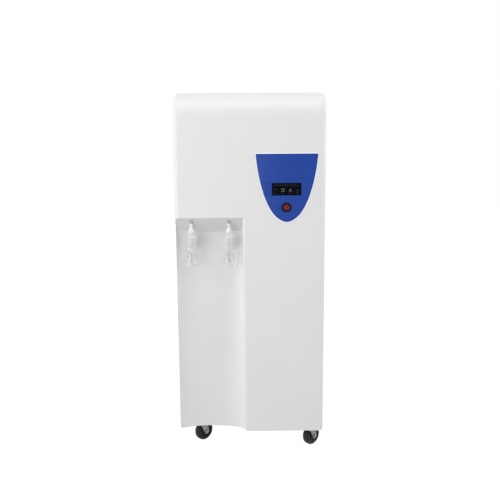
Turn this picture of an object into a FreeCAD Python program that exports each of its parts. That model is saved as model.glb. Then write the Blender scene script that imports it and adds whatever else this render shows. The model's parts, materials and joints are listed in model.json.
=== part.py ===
import FreeCAD, Part
import math
import os

# Floor-standing laboratory water purifier on casters, with two dispensing outlets under a hood.
# Millimetres. +X is to the right of someone facing the front, the front faces -Y, +Z is up.
# The origin lies on the floor under the middle of the overall box.

# ---- cabinet ---------------------------------------------------------------------------------
cabinet_width = 450.0
cabinet_depth = 520.0
cabinet_top = 1115.0
cabinet_bottom = 72.0
moulding_depth = 120.0
moulding_wall = 4.0
top_roll_radius = 68.0
edge_round = 13.0
foot_corner_round = 9.0
panel_gap = 0.5
sheet = 1.2
panel_hem = 4.0
top_panel_skirt = 40.0

# ---- dispensing bay in the front moulding ----------------------------------------------------
hood_edge_height = 747.0
bay_centre_setback = 100.0
bay_depth_top = 47.0
bay_depth_foot = 43.0
bay_right_half_top = 103.0
bay_right_half_foot = 106.0
bay_boxy_end_height = 585.0
bay_left_half_top = 105.0
bay_left_half_foot = 112.0
bay_left_fullness_top = 3.0
bay_right_fullness_top = 6.0
bay_fullness_foot = 2.0
bay_edge_round = 7.0

# ---- control panel ---------------------------------------------------------------------------
shield_side_setback = 116.4
shield_top = 934.0
shield_tip = 736.0
shield_half_width = 91.5
shield_cheek_inset = 8.5
shield_cheek_drop = 84.0
shield_tip_spread = 60.0
shield_tip_rise = 13.0
shield_pocket_depth = 1.5
shield_thickness = 2.5
shield_border = 2.6
fit_gap = 0.3
display_width = 88.0
display_height = 37.0
display_centre_height = 831.0
display_lens_proud = 0.4
display_module_depth = 12.0
button_height = 777.0
button_radius = 9.3
button_travel = 3.0
button_dome = 1.6
button_stem_length = 14.0
bezel_radius = 14.1
bezel_proud = 3.0
bezel_barrel_radius = 11.5
bezel_floor = 3.0
slide_gap = 0.06

# ---- outlets ---------------------------------------------------------------------------------
outlet_left_offset = 52.0
outlet_right_offset = 61.0
outlet_depth = 12.0
stem_radius = 3.4
stem_top_reach = 40.0
grommet_wall = 2.4
grommet_lip = 1.0
hose_bore = 2.0
hose_drop = 19.0
union_collar_radius = 5.5
union_collar_length = 7.5
union_neck_radius = 4.0
union_neck_length = 8.0
union_body_radius = 8.5
union_body_length = 13.5
capsule_radius = 15.5
capsule_length = 49.0
capsule_shoulder = 9.0
capsule_neck_radius = 6.0
capsule_neck_length = 5.0
bell_length = 41.5
bell_neck_radius = 7.5
bell_rim_radius = 20.8
bell_wall = 1.6
nozzle_radius = 4.2
nozzle_bore = 2.4
nozzle_tip_recess = 5.0

# ---- casters ---------------------------------------------------------------------------------
wheel_diameter = 63.0
wheel_width = 25.0
wheel_hub_radius = 10.0
wheel_side_recess = 3.0
wheel_edge_round = 6.0
caster_height = 88.0
caster_trail = 25.0
caster_turn = 45.0
caster_plate_size = 60.0
caster_plate_thickness = 3.0
swivel_ring_radius = 22.0
kingpin_radius = 6.0
kingpin_head_radius = 9.0
kingpin_head = 3.0
fork_crown = 3.0
fork_leg = 2.5
fork_wheel_gap = 1.2
fork_boss_radius = 9.0
swivel_height = 11.0
axle_radius = 4.0
axle_head_radius = 6.5
axle_head = 2.5
front_right_caster_setback = 41.0
front_left_caster_setback = 79.0
rear_caster_setback = 54.0
caster_side_setback = 49.0

# ---- frame inside ----------------------------------------------------------------------------
post_leg = 25.0
post_wall = 2.0
base_plate = 2.0
base_flange = 24.0
shelf_height = 600.0
shelf_plate = 2.0
shelf_flange = 10.0
mounting_plate_back = 368.0
mounting_plate_height = 358.0
mounting_plate_side_gap = 21.0
mounting_plate_foot = 20.0

# ---- water path inside -----------------------------------------------------------------------
tube_radius = 3.175
tube_bore_radius = 2.1
elbow_half = 6.5
elbow_reach = 16.0
port_radius = 6.5
port_length = 5.0
prefilter_side_gap = 8.0
prefilter_pitch = 105.0
prefilter_count = 3
prefilter_ribs = 6
prefilter_rib_width = 6.0
prefilter_rib_reach = 2.0
prefilter_first_setback = 178.5
prefilter_head_radius = 46.0
prefilter_head_height = 42.0
prefilter_bowl_radius = 43.0
prefilter_bowl_wall = 3.0
prefilter_bowl_length = 225.0
prefilter_collar_height = 26.0
prefilter_bowl_taper = 3.0
prefilter_foot_height = 20.0
prefilter_foot_inset = 12.0
tank_radius = 125.0
tank_height = 340.0
tank_dome = 45.0
tank_foot_radius = 90.0
tank_foot_height = 28.0
tank_foot_wall = 3.0
tank_neck_radius = 14.0
tank_neck_height = 18.0
valve_body_radius = 15.0
valve_body_height = 30.0
lever_length = 42.0
lever_width = 12.0
lever_thickness = 3.0
lever_stem_radius = 4.0
lever_stem_length = 6.0
pump_setback = 290.0
pump_motor_radius = 42.0
pump_length = 170.0
pump_head_size = 84.0
pump_head_length = 46.0
pump_foot_height = 14.0
pump_foot_plate = 3.0
pump_foot_inset = 10.0
pump_web_inset = 20.0
pump_port_spread = 20.0
housing_radius = 31.5
housing_cap_radius = 36.0
housing_cap_height = 54.0
housing_length = 330.0
cap_chamfer = 4.0
vessel_side_gap = 8.0
ro_pitch = 86.0
di_radius = 36.0
di_pitch = 78.0
di_cap_height = 30.0
di_bottom = 640.0
uv_gap = 6.0
uv_radius = 25.0
uv_cap_radius = 28.0
clip_wall = 2.0
clip_height = 18.0
clip_foot = 16.0
clip_low = 700.0
clip_high = 820.0
solenoid_size = 34.0
solenoid_body_height = 23.0
solenoid_coil_radius = 13.0
solenoid_coil_height = 26.0
high_lane = 1000.0
front_lane_gap = 26.0
lane_pitch = 16.0
link_reach = 30.0
drain_lane = 50.0

# ---- electrics -------------------------------------------------------------------------------
board_width = 110.0
board_height = 80.0
board_thickness = 1.6
board_standoff = 34.0
board_bottom = 850.0
board_pillar_inset = 6.0
board_pillar_radius = 3.0
board_part_count = 3
board_part_width = 18.0
board_part_tall = 30.0
board_part_depth = 10.0
supply_width = 98.0
supply_depth = 60.0
supply_height = 200.0
supply_side_setback = 165.0

# ---- rear panel fittings ---------------------------------------------------------------------
rear_reach = 22.0
rear_port_radius = 9.5
rear_port_bore = 3.2
rear_port_flange_radius = 14.0
rear_port_flange = 3.0
rear_port_tail = 18.0
rear_port_socket = 15.0
drain_port_height = 700.0
inlet_side_setback = 75.0
inlet_height = 160.0
inlet_width = 50.0
inlet_tall = 27.0
inlet_flange = 3.0
inlet_body_width = 30.0
inlet_body_tall = 22.0
inlet_body_depth = 22.0
inlet_socket_width = 25.0
inlet_socket_tall = 17.0
inlet_socket_depth = 18.0
inlet_pin_length = 11.0
inlet_pin_width = 4.0
inlet_pin_thickness = 2.0
inlet_pin_pitch = 7.0
vent_width = 120.0
vent_slot = 5.0
vent_pitch = 12.0
vent_count = 8
vent_bottom = 900.0
screw_radius = 3.5
screw_head = 2.2
screw_count = 5
screw_margin = 12.0

shaft_gap = 0.06

# ---- places worked out from the sizes --------------------------------------------------------
half_width = cabinet_width / 2
front_reach = max(bell_rim_radius - outlet_depth,
                  shield_thickness - shield_pocket_depth + bezel_proud + button_dome)
front_y = -(cabinet_depth + front_reach + rear_reach) / 2 + front_reach
rear_y = front_y + cabinet_depth
moulding_rear = front_y + moulding_depth
inner_half = half_width - panel_hem
bay_centre_x = bay_centre_setback - half_width
shield_centre_x = half_width - shield_side_setback
outlet_left_x = bay_centre_x - outlet_left_offset
outlet_right_x = bay_centre_x + outlet_right_offset
post_front = moulding_rear - post_leg / 2
fascia_back = front_y + shield_pocket_depth
fascia_front = fascia_back - shield_thickness
outlet_y = front_y + outlet_depth
union_top = hood_edge_height - hose_drop
union_collar_end = union_top - union_collar_length
union_body_top = union_collar_end - union_neck_length
union_body_end = union_body_top - union_body_length
capsule_end = union_body_end - capsule_length
bell_top = capsule_end - capsule_neck_length
bell_end = bell_top - bell_length
pan_half = inner_half - fit_gap
pan_bottom = caster_height
pan_top = pan_bottom + base_plate
shelf_top = shelf_height + shelf_plate
plate_y = front_y + mounting_plate_back
housing_y = plate_y - clip_wall - max(housing_cap_radius, di_radius)
ro_first_x = vessel_side_gap + housing_cap_radius - inner_half
tank_x = ro_first_x + ro_pitch
uv_x = inner_half - vessel_side_gap - uv_cap_radius
di_x = uv_x - uv_cap_radius - uv_gap - di_radius - di_pitch
supply_x = half_width - supply_side_setback
inlet_x = half_width - inlet_side_setback
prefilter_x = inner_half - prefilter_side_gap - prefilter_rib_reach - prefilter_head_radius
tank_y = housing_y
valve_top = pan_top + tank_height + tank_neck_height + valve_body_height
valve_mid = valve_top - valve_body_height / 2
pump_x = prefilter_x - pump_port_spread
pump_y = front_y + pump_setback
pump_mid = pan_top + pump_foot_height + pump_head_size / 2
prefilter_port = shelf_height - prefilter_head_height / 2
housing_port_length = port_length + housing_cap_radius
vessel_top = shelf_top + housing_length
ro_low_port = shelf_top + housing_cap_height / 2
ro_high_port = vessel_top - housing_cap_height / 2
di_front_port = di_bottom + di_cap_height / 2
stem_top = hood_edge_height + stem_top_reach
solenoid_y = front_y + moulding_wall + solenoid_size / 2
solenoid_top = stem_top + solenoid_body_height + solenoid_coil_height + port_length


def box(x0, x1, y0, y1, z0, z1):
    """A box from its two corners."""
    return Part.makeBox(x1 - x0, y1 - y0, z1 - z0, FreeCAD.Vector(x0, y0, z0))


def rod(radius, start, end):
    """A round bar from one point to another."""
    start = FreeCAD.Vector(*start)
    along = FreeCAD.Vector(*end) - start
    return Part.makeCylinder(radius, along.Length, start, along)


def turned(outline, x=0.0, y=0.0):
    """Revolves an outline of (radius, height) corners about the vertical through x, y."""
    points = [FreeCAD.Vector(x + r, y, z) for r, z in outline]
    face = Part.Face(Part.makePolygon(points + points[:1]))
    return face.revolve(FreeCAD.Vector(x, y, 0), FreeCAD.Vector(0, 0, 1), 360)


def plate_from(points, thickness, normal):
    """A plate of a polygon outline, extruded along a direction."""
    corners = [FreeCAD.Vector(*p) for p in points]
    face = Part.Face(Part.makePolygon(corners + corners[:1]))
    return face.extrude(FreeCAD.Vector(*normal) * thickness)


def rounded_box(x0, x1, y0, y1, z0, z1, radius, axis):
    """A box with the four edges along one axis rounded."""
    block = box(x0, x1, y0, y1, z0, z1)
    direction = FreeCAD.Vector(*axis)
    edges = [e for e in block.Edges if abs(e.tangentAt(e.FirstParameter).dot(direction)) > 0.99]
    return block.makeFillet(radius, edges)


def fused(pieces):
    """Joins pieces into one solid."""
    joined = pieces[0].fuse(pieces[1:]) if len(pieces) > 1 else pieces[0]
    return joined.removeSplitter()


def group(pieces):
    """Keeps pieces as separate solids in one node."""
    return Part.makeCompound(pieces)


def tube(points):
    """A water tube: straight runs that turn in square-bodied push-fit elbows."""
    corners = [FreeCAD.Vector(*p) for p in points]
    pieces = [rod(tube_radius, start, end) for start, end in zip(corners, corners[1:])]
    half = FreeCAD.Vector(1, 1, 1) * elbow_half
    for before, corner, after in zip(corners, corners[1:], corners[2:]):
        for end in (before, after):
            reach = (end - corner).normalize() * (elbow_reach - elbow_half)
            socket = FreeCAD.BoundBox(corner - half, corner + half)
            socket.add(FreeCAD.BoundBox(corner - half + reach, corner + half + reach))
            pieces.append(box(socket.XMin, socket.XMax, socket.YMin, socket.YMax, socket.ZMin, socket.ZMax))
    return fused(pieces)


# ---- front moulding --------------------------------------------------------------------------
def moulding_form(inset, rear, bottom):
    """The cabinet's front as a solid: flat face, rolled top edge and rounded side edges."""
    front = front_y + inset
    top = cabinet_top - inset
    roll = top_roll_radius - inset
    side = half_width - inset
    start = FreeCAD.Vector(-side, front, bottom)
    roll_start = FreeCAD.Vector(-side, front, top - roll)
    lean = roll * (1 - math.sqrt(0.5))
    roll_middle = FreeCAD.Vector(-side, front + lean, top - lean)
    roll_end = FreeCAD.Vector(-side, front + roll, top)
    back_top = FreeCAD.Vector(-side, rear, top)
    back_foot = FreeCAD.Vector(-side, rear, bottom)
    wire = Part.Wire([
        Part.LineSegment(start, roll_start).toShape(),
        Part.Arc(roll_start, roll_middle, roll_end).toShape(),
        Part.LineSegment(roll_end, back_top).toShape(),
        Part.LineSegment(back_top, back_foot).toShape(),
        Part.LineSegment(back_foot, start).toShape(),
    ])
    form = Part.Face(wire).extrude(FreeCAD.Vector(2 * side, 0, 0))
    edges = []
    for edge in form.Edges:
        bounds = edge.BoundBox
        on_side = bounds.XLength < 0.01
        at_rear = bounds.YMin > rear - 0.01
        at_foot = bounds.ZMax < bottom + 0.01
        if on_side and not at_rear and not at_foot:
            edges.append(edge)
    return form.makeFillet(max(edge_round - inset, sheet), edges)


def bay_section(height, share, grow):
    """The bay's plan at one height. share runs from 0, boxy under the hood, to 1 at the foot."""
    depth = bay_depth_top + (bay_depth_foot - bay_depth_top) * share + grow
    right_half = bay_right_half_top + (bay_right_half_foot - bay_right_half_top) * share + grow
    left_half = bay_left_half_top + (bay_left_half_foot - bay_left_half_top) * share + grow
    ease = math.sqrt(share)
    left_fullness = bay_left_fullness_top + (bay_fullness_foot - bay_left_fullness_top) * ease
    right_fullness = bay_right_fullness_top + (bay_fullness_foot - bay_right_fullness_top) * ease
    steps = 6
    points = []
    for step in range(-steps, steps + 1):
        angle = abs(step) / steps * math.pi / 2
        half = left_half if step < 0 else right_half
        lip = 0.0 if step < 0 else bay_edge_round
        fullness = left_fullness if step < 0 else right_fullness
        across = math.copysign(half * math.sin(angle) ** (2 / fullness), step)
        rise = math.cos(angle) ** (2 / fullness) if abs(step) < steps else 0.0
        points.append(FreeCAD.Vector(bay_centre_x + across, front_y + lip + (depth - lip) * rise, height))
    curve = Part.BSplineCurve()
    curve.interpolate(Points=points, Parameters=[step / (2 * steps) for step in range(2 * steps + 1)])
    before = front_y - bay_depth_top
    round_x = bay_centre_x + right_half - grow + bay_edge_round
    lean = (bay_edge_round - grow) * math.sqrt(0.5)
    round_middle = FreeCAD.Vector(round_x - lean, front_y + bay_edge_round - lean, height)
    round_end = FreeCAD.Vector(round_x, front_y + grow, height)
    left_front = FreeCAD.Vector(points[0].x, before, height)
    right_front = FreeCAD.Vector(round_x, before, height)
    return Part.Wire([
        curve.toShape(),
        Part.Arc(points[-1], round_middle, round_end).toShape(),
        Part.LineSegment(round_end, right_front).toShape(),
        Part.LineSegment(right_front, left_front).toShape(),
        Part.LineSegment(left_front, points[0]).toShape(),
    ])


def hood_side(rise):
    """All that lies above the hood's slanted underside, moved square to it by the rise."""
    reach = 2 * bay_depth_top
    lip = hood_edge_height + rise * math.sqrt(2)
    top = cabinet_top + reach
    return plate_from([(-cabinet_width, front_y - reach, lip + reach),
                       (-cabinet_width, front_y + reach, lip - reach),
                       (-cabinet_width, front_y + reach, top),
                       (-cabinet_width, front_y - reach, top)],
                      2 * cabinet_width, (1, 0, 0))


def bay_form(grow):
    """The hollow of the dispensing bay: boxy behind the outlets, a shallow curve at the foot."""
    below = cabinet_bottom - 1
    above = hood_edge_height + 2 * bay_depth_top
    run = bay_boxy_end_height - below
    boxy = Part.makeLoft([bay_section(above, 0, grow), bay_section(bay_boxy_end_height, 0, grow)],
                         True, True)
    shares = [0, 0.12, 0.5, 0.88, 1]
    lower = [bay_section(bay_boxy_end_height - run * s, 3 * s ** 2 - 2 * s ** 3, grow) for s in shares]
    blend = Part.makeLoft(lower, True, False)
    hollow = boxy.fuse(blend)
    return hollow.cut(hood_side(grow))


def shield_outline(y, shrink):
    """The shield's outline: a straight top and two long curves that meet in a round tip."""
    top = shield_top - shrink
    tip = shield_tip + shrink
    side = shield_half_width - shrink
    edges = []
    for hand in (-1, 1):
        poles = [FreeCAD.Vector(shield_centre_x + hand * side, y, top),
                 FreeCAD.Vector(shield_centre_x + hand * (side - shield_cheek_inset), y,
                                top - shield_cheek_drop),
                 FreeCAD.Vector(shield_centre_x + hand * (shield_tip_spread - shrink), y,
                                tip + shield_tip_rise),
                 FreeCAD.Vector(shield_centre_x, y, tip)]
        curve = Part.BezierCurve()
        curve.setPoles(poles)
        edges.append(curve.toShape())
    across = Part.LineSegment(FreeCAD.Vector(shield_centre_x - side, y, top),
                              FreeCAD.Vector(shield_centre_x + side, y, top)).toShape()
    return Part.Wire(Part.sortEdges([across] + edges)[0])


def shield_slab(y_front, y_back, shrink):
    """A slab of the shield's outline between two depths."""
    face = Part.Face(shield_outline(y_front, shrink))
    return face.extrude(FreeCAD.Vector(0, y_back - y_front, 0))


def display_opening(grow, y0, y1):
    """The window behind the display lens."""
    side = display_width / 2 + grow
    tall = display_height / 2 + grow
    return box(shield_centre_x - side, shield_centre_x + side, y0, y1,
               display_centre_height - tall, display_centre_height + tall)


def front_moulding():
    """One thin-walled moulding: rolled top, hood with its slanted underside, and the bay."""
    casing = moulding_form(0, moulding_rear, cabinet_bottom)
    hollow = moulding_form(moulding_wall, moulding_rear + 1, cabinet_bottom - 1)
    outer = casing.cut(bay_form(0))
    shell = outer.cut(hollow.cut(bay_form(moulding_wall)))
    for hand in (-1, 1):
        corner = hand * half_width
        centre = hand * (half_width - foot_corner_round)
        block = box(min(corner, centre) - (hand < 0), max(corner, centre) + (hand > 0),
                    front_y - 1, moulding_rear + 1,
                    cabinet_bottom - 1, cabinet_bottom + foot_corner_round)
        round_part = rod(foot_corner_round, (centre, front_y - 2, cabinet_bottom + foot_corner_round),
                         (centre, moulding_rear + 2, cabinet_bottom + foot_corner_round))
        shell = shell.cut(block.cut(round_part))
    shell = shell.cut(shield_slab(front_y - 1, fascia_back, -fit_gap))
    behind = front_y + moulding_wall + 1
    shell = shell.cut(display_opening(fit_gap, front_y - 1, behind))
    shell = shell.cut(rod(bezel_barrel_radius + shaft_gap, (shield_centre_x, front_y - 1, button_height),
                          (shield_centre_x, behind, button_height)))
    for x in (outlet_left_x, outlet_right_x):
        shell = shell.cut(rod(stem_radius + grommet_wall + shaft_gap, (x, outlet_y, bell_top),
                              (x, outlet_y, stem_top)))
    return shell


# ---- sheet metal casing ----------------------------------------------------------------------
def tray(x0, x1, y0, y1, z0, z1, open_side):
    """A flat panel whose four edges are folded inwards by the hem."""
    inner = box(x0 if open_side < 0 else x0 + sheet, x1 if open_side > 0 else x1 - sheet,
                y0 + sheet, y1 - sheet, z0 + sheet, z1 - sheet)
    return box(x0, x1, y0, y1, z0, z1).cut(inner)


def side_panel(hand):
    """A folded sheet side panel between the moulding and the rear panel."""
    outer = hand * half_width
    inner = hand * inner_half
    low, high = min(outer, inner), max(outer, inner)
    return tray(low, high, moulding_rear + panel_gap, rear_y - sheet - panel_gap,
                cabinet_bottom, cabinet_top - top_panel_skirt - panel_gap, -hand)


def top_panel():
    """The roof: a folded sheet whose long edges carry the same round as the moulding."""
    front = moulding_rear + panel_gap
    rear = rear_y - sheet - panel_gap
    foot = cabinet_top - top_panel_skirt
    block = box(-half_width, half_width, front, rear, foot, cabinet_top)
    edges = [e for e in block.Edges if e.BoundBox.YLength > 1 and e.BoundBox.ZMin > foot + 1]
    skin = block.makeFillet(edge_round, edges)
    inner = box(-half_width + sheet, half_width - sheet, front + sheet, rear - sheet,
                foot - 1, cabinet_top - sheet)
    edges = [e for e in inner.Edges if e.BoundBox.YLength > 1 and e.BoundBox.ZMin > foot + 1]
    inner = inner.makeFillet(edge_round - sheet, edges)
    ends = box(-inner_half, inner_half, front - 1, rear + 1, foot - 1, cabinet_top - panel_hem)
    edges = [e for e in ends.Edges if e.BoundBox.YLength > 1 and e.BoundBox.ZMin > foot + 1]
    ends = ends.makeFillet(edge_round - panel_hem, edges)
    return skin.cut(inner).cut(ends)


def rear_panel():
    """The back cover with cooling slots and holes for the fittings."""
    panel = box(-half_width, half_width, rear_y - sheet, rear_y, cabinet_bottom, cabinet_top)
    edges = [e for e in panel.Edges if e.BoundBox.YLength > 0.5 and e.BoundBox.ZMin > cabinet_bottom + 1]
    panel = panel.makeFillet(edge_round, edges)
    for x in (-half_width / 2, half_width / 2):
        for row in range(vent_count):
            z = vent_bottom + row * vent_pitch
            panel = panel.cut(box(x - vent_width / 2, x + vent_width / 2,
                                  rear_y - 2 * sheet, rear_y + sheet, z, z + vent_slot))
    for x, z in rear_port_places():
        panel = panel.cut(rod(rear_port_radius + shaft_gap, (x, rear_y - 2 * sheet, z),
                              (x, rear_y + sheet, z)))
    return panel.cut(box(inlet_x - inlet_body_width / 2 - fit_gap, inlet_x + inlet_body_width / 2 + fit_gap,
                         rear_y - 2 * sheet, rear_y + sheet,
                         inlet_height - inlet_body_tall / 2 - fit_gap,
                         inlet_height + inlet_body_tall / 2 + fit_gap))


def rear_port_places():
    """The feed inlet and the drain outlet on the rear panel."""
    return [(prefilter_x, prefilter_port), (tank_x, drain_port_height)]


def base_pan():
    """The folded base that carries the tank, the pump and the casters."""
    rear = rear_y - sheet
    skirt = moulding_wall + fit_gap
    level = box(-half_width, half_width, front_y, rear, pan_bottom, pan_bottom + base_flange)
    upper = box(-half_width, half_width, front_y, rear, pan_top, pan_bottom + base_flange + 1)
    pan = level.common(moulding_form(skirt, rear, cabinet_bottom)).cut(bay_form(skirt))
    inner = moulding_form(skirt + base_plate, rear - base_plate, cabinet_bottom)
    return pan.cut(upper.common(inner).cut(bay_form(skirt + base_plate)))


def frame_posts():
    """Four angle posts standing in the corners of the base pan."""
    posts = []
    top = cabinet_top - panel_hem
    casing = moulding_form(panel_hem + fit_gap, rear_y, cabinet_bottom)
    foot = pan_top
    reach = pan_half - base_plate
    for hand in (-1, 1):
        for y, facing in ((post_front, 1), (rear_y - sheet - base_plate, -1)):
            leg_end = hand * (reach - post_leg)
            wall_end = hand * (reach - post_wall)
            side_leg = box(min(hand * reach, wall_end), max(hand * reach, wall_end),
                           min(y, y + facing * post_leg), max(y, y + facing * post_leg), foot, top)
            cross_leg = box(min(hand * reach, leg_end), max(hand * reach, leg_end),
                            min(y, y + facing * post_wall), max(y, y + facing * post_wall), foot, top)
            posts.append(fused([side_leg, cross_leg]).common(casing))
    return group(posts)


def equipment_shelf():
    """The middle shelf, bolted between the posts, with its edges folded down."""
    side = pan_half - base_plate - post_wall
    y0 = post_front + post_wall
    y1 = rear_y - sheet - base_plate - post_wall
    low = shelf_top - shelf_flange
    shelf = box(-side, side, y0, y1, low, shelf_top)
    shelf = shelf.cut(box(-side + shelf_plate, side - shelf_plate, y0 + shelf_plate, y1 - shelf_plate,
                          low - 1, shelf_height))
    hole = rod(tube_radius + 2, (di_x, housing_y, shelf_height - 1), (di_x, housing_y, shelf_top + 1))
    return shelf.cut(hole)


def mounting_plate():
    """The upright plate that the upper vessels are clipped to."""
    side = inner_half - mounting_plate_side_gap
    upright = box(-side, side, plate_y, plate_y + shelf_plate, shelf_top, shelf_top + mounting_plate_height)
    foot = box(-side, side, plate_y, plate_y + mounting_plate_foot, shelf_top, shelf_top + shelf_plate)
    return fused([upright, foot])


# ---- control panel ---------------------------------------------------------------------------
def control_fascia():
    """The shield-shaped panel, with its pale border proud and windows for lens and switch."""
    slab = shield_slab(fascia_front, fascia_back, 0)
    slab = slab.cut(shield_slab(fascia_front - 1, fascia_front + display_lens_proud, shield_border))
    slab = slab.cut(display_opening(0, fascia_front - 1, fascia_back + 1))
    return slab.cut(rod(bezel_barrel_radius + shaft_gap,
                        (shield_centre_x, fascia_front - 1, button_height),
                        (shield_centre_x, fascia_back + 1, button_height)))


def display_lens():
    """The smoked window that lies in the fascia."""
    front = fascia_front + display_lens_proud / 2
    return display_opening(-slide_gap, front, fascia_back)


def display_module():
    """The indicator unit behind the lens, in the moulding's window."""
    back = fascia_back + display_module_depth
    face = display_opening(0, fascia_back, front_y + moulding_wall)
    body = display_opening(4 * fit_gap, front_y + moulding_wall, back)
    return fused([face, body])


def power_switch_bezel():
    """The switch's threaded barrel and collar, with a well for the button."""
    collar_back = fascia_front + display_lens_proud
    collar_front = fascia_front - bezel_proud
    barrel_end = collar_front + button_stem_length + button_travel + fit_gap + bezel_floor
    along = [(0, collar_front), (bezel_radius - 1, collar_front), (bezel_radius, collar_front + 1),
             (bezel_radius, collar_back), (bezel_barrel_radius, collar_back),
             (bezel_barrel_radius, barrel_end), (0, barrel_end)]
    points = [FreeCAD.Vector(shield_centre_x + r, y, button_height) for r, y in along]
    face = Part.Face(Part.makePolygon(points + points[:1]))
    body = face.revolve(FreeCAD.Vector(shield_centre_x, 0, button_height), FreeCAD.Vector(0, 1, 0), 360)
    well = rod(button_radius + slide_gap, (shield_centre_x, collar_front - 1, button_height),
               (shield_centre_x, barrel_end - bezel_floor, button_height))
    return body.cut(well)


def power_button():
    """The round push button: a shallow dome on a stem that slides in the barrel."""
    face_y = fascia_front - bezel_proud
    tip = face_y - button_dome
    end = face_y + button_stem_length
    dome_radius = (button_radius ** 2 + button_dome ** 2) / (2 * button_dome)
    dome = Part.makeSphere(dome_radius, FreeCAD.Vector(shield_centre_x, tip + dome_radius, button_height))
    block = rod(button_radius, (shield_centre_x, tip - 1, button_height),
                (shield_centre_x, end, button_height))
    return block.common(dome.fuse(rod(button_radius, (shield_centre_x, face_y, button_height),
                                      (shield_centre_x, end, button_height)))).removeSplitter()


def control_board():
    """The circuit board on pillars behind the front face, with its larger parts."""
    x0 = shield_centre_x - board_width / 2
    y0 = front_y + moulding_wall + board_standoff
    pieces = [box(x0, x0 + board_width, y0, y0 + board_thickness, board_bottom, board_bottom + board_height)]
    for x in (x0 + board_pillar_inset, x0 + board_width - board_pillar_inset):
        for z in (board_bottom + board_pillar_inset, board_bottom + board_height - board_pillar_inset):
            pieces.append(rod(board_pillar_radius, (x, front_y + moulding_wall, z), (x, y0, z)))
    part_back = y0 + board_thickness
    part_low = board_bottom + (board_height - board_part_tall) / 2
    for step in range(board_part_count):
        part_x = x0 + board_width * (step + 1) / (board_part_count + 1)
        pieces.append(box(part_x - board_part_width / 2, part_x + board_part_width / 2,
                          part_back, part_back + board_part_depth, part_low, part_low + board_part_tall))
    return fused(pieces)


def power_supply():
    """The enclosed supply, standing on the shelf against the back of the mounting plate."""
    y0 = plate_y + mounting_plate_foot
    return rounded_box(supply_x - supply_width / 2, supply_x + supply_width / 2, y0, y0 + supply_depth,
                       shelf_top, shelf_top + supply_height, 2.0, (0, 0, 1))


# ---- outlets ---------------------------------------------------------------------------------
def outlet_stem(x):
    """The grey hose stub that comes down through the hood's underside in a grommet."""
    stem = rod(stem_radius, (x, outlet_y, union_top), (x, outlet_y, stem_top))
    low = hood_edge_height - outlet_depth - 2 * (stem_radius + grommet_wall)
    sleeve = rod(stem_radius + grommet_wall, (x, outlet_y, low), (x, outlet_y, stem_top - moulding_wall))
    sleeve = sleeve.common(hood_side(-grommet_lip))
    bore = rod(hose_bore, (x, outlet_y, union_top - 1), (x, outlet_y, stem_top + 1))
    return fused([stem, sleeve]).cut(bore)


def outlet_union(x):
    """The white union: push-in collar, neck and body."""
    outline = [(hose_bore, union_top), (union_collar_radius, union_top),
               (union_collar_radius, union_collar_end), (union_neck_radius, union_collar_end - 1.5),
               (union_neck_radius, union_body_top + 2), (union_body_radius, union_body_top),
               (union_body_radius, union_body_end), (hose_bore, union_body_end)]
    return turned(outline, x, outlet_y)


def capsule_filter(x):
    """The translucent point-of-use capsule with domed shoulders and a waist below."""
    top = union_body_end
    shoulder = top - capsule_shoulder
    foot = capsule_end + capsule_shoulder / 2
    outline = [(0, top), (union_body_radius - 1, top), (capsule_radius - 3, shoulder + 4),
               (capsule_radius, shoulder), (capsule_radius, foot), (capsule_radius - 4, capsule_end),
               (capsule_neck_radius, capsule_end), (capsule_neck_radius, bell_top), (0, bell_top)]
    return turned(outline, x, outlet_y)


def filling_bell(x):
    """The clear flared bell around the nozzle, open below."""
    waist = bell_top - bell_length * 0.35
    tip = bell_end + nozzle_tip_recess
    roof = bell_top - bell_wall
    outer = [(nozzle_bore, bell_top), (bell_neck_radius, bell_top), (bell_neck_radius + 2, bell_top - 2),
             (bell_rim_radius - 5, waist), (bell_rim_radius, bell_end),
             (bell_rim_radius - bell_wall, bell_end), (bell_rim_radius - 5 - bell_wall, waist),
             (bell_neck_radius + 1, roof - 2), (nozzle_radius, roof - 3),
             (nozzle_radius, tip + 6), (nozzle_radius - 1, tip), (nozzle_bore, tip)]
    return turned(outer, x, outlet_y)


# ---- casters ---------------------------------------------------------------------------------
def caster_places():
    """The swivel axis of each caster: name, x, y."""
    side = half_width - caster_side_setback
    return [("front_left", -side, front_y + front_left_caster_setback),
            ("front_right", side, front_y + front_right_caster_setback),
            ("rear_left", -side, rear_y - rear_caster_setback),
            ("rear_right", side, rear_y - rear_caster_setback)]


def turn_into_place(shape, x, y):
    """Turns a caster piece to its rest heading and moves it to its swivel axis."""
    shape.rotate(FreeCAD.Vector(0, 0, 0), FreeCAD.Vector(0, 0, 1), caster_turn)
    shape.translate(FreeCAD.Vector(x, y, 0))
    return shape


def caster_plates():
    """Four top plates, each with its kingpin and the pin's head below the fork."""
    plates = []
    half = caster_plate_size / 2
    bottom = caster_height - caster_plate_thickness
    crown_low = bottom - fit_gap - swivel_height
    for name, x, y in caster_places():
        plate = rounded_box(x - half, x + half, y - half, y + half, bottom, caster_height, 6.0, (0, 0, 1))
        pin = rod(kingpin_radius, (x, y, crown_low - fit_gap), (x, y, bottom))
        head = rod(kingpin_head_radius, (x, y, crown_low - fit_gap - kingpin_head),
                   (x, y, crown_low - fit_gap))
        plates.append(fused([plate, pin, head]))
    return group(plates)


def tangent_angle(point_x, point_z, radius, hand):
    """The direction from a circle's centre to where a line from the point touches it."""
    distance = math.hypot(point_x, point_z)
    return math.atan2(point_z, point_x) + hand * math.acos(radius / distance)


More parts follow.
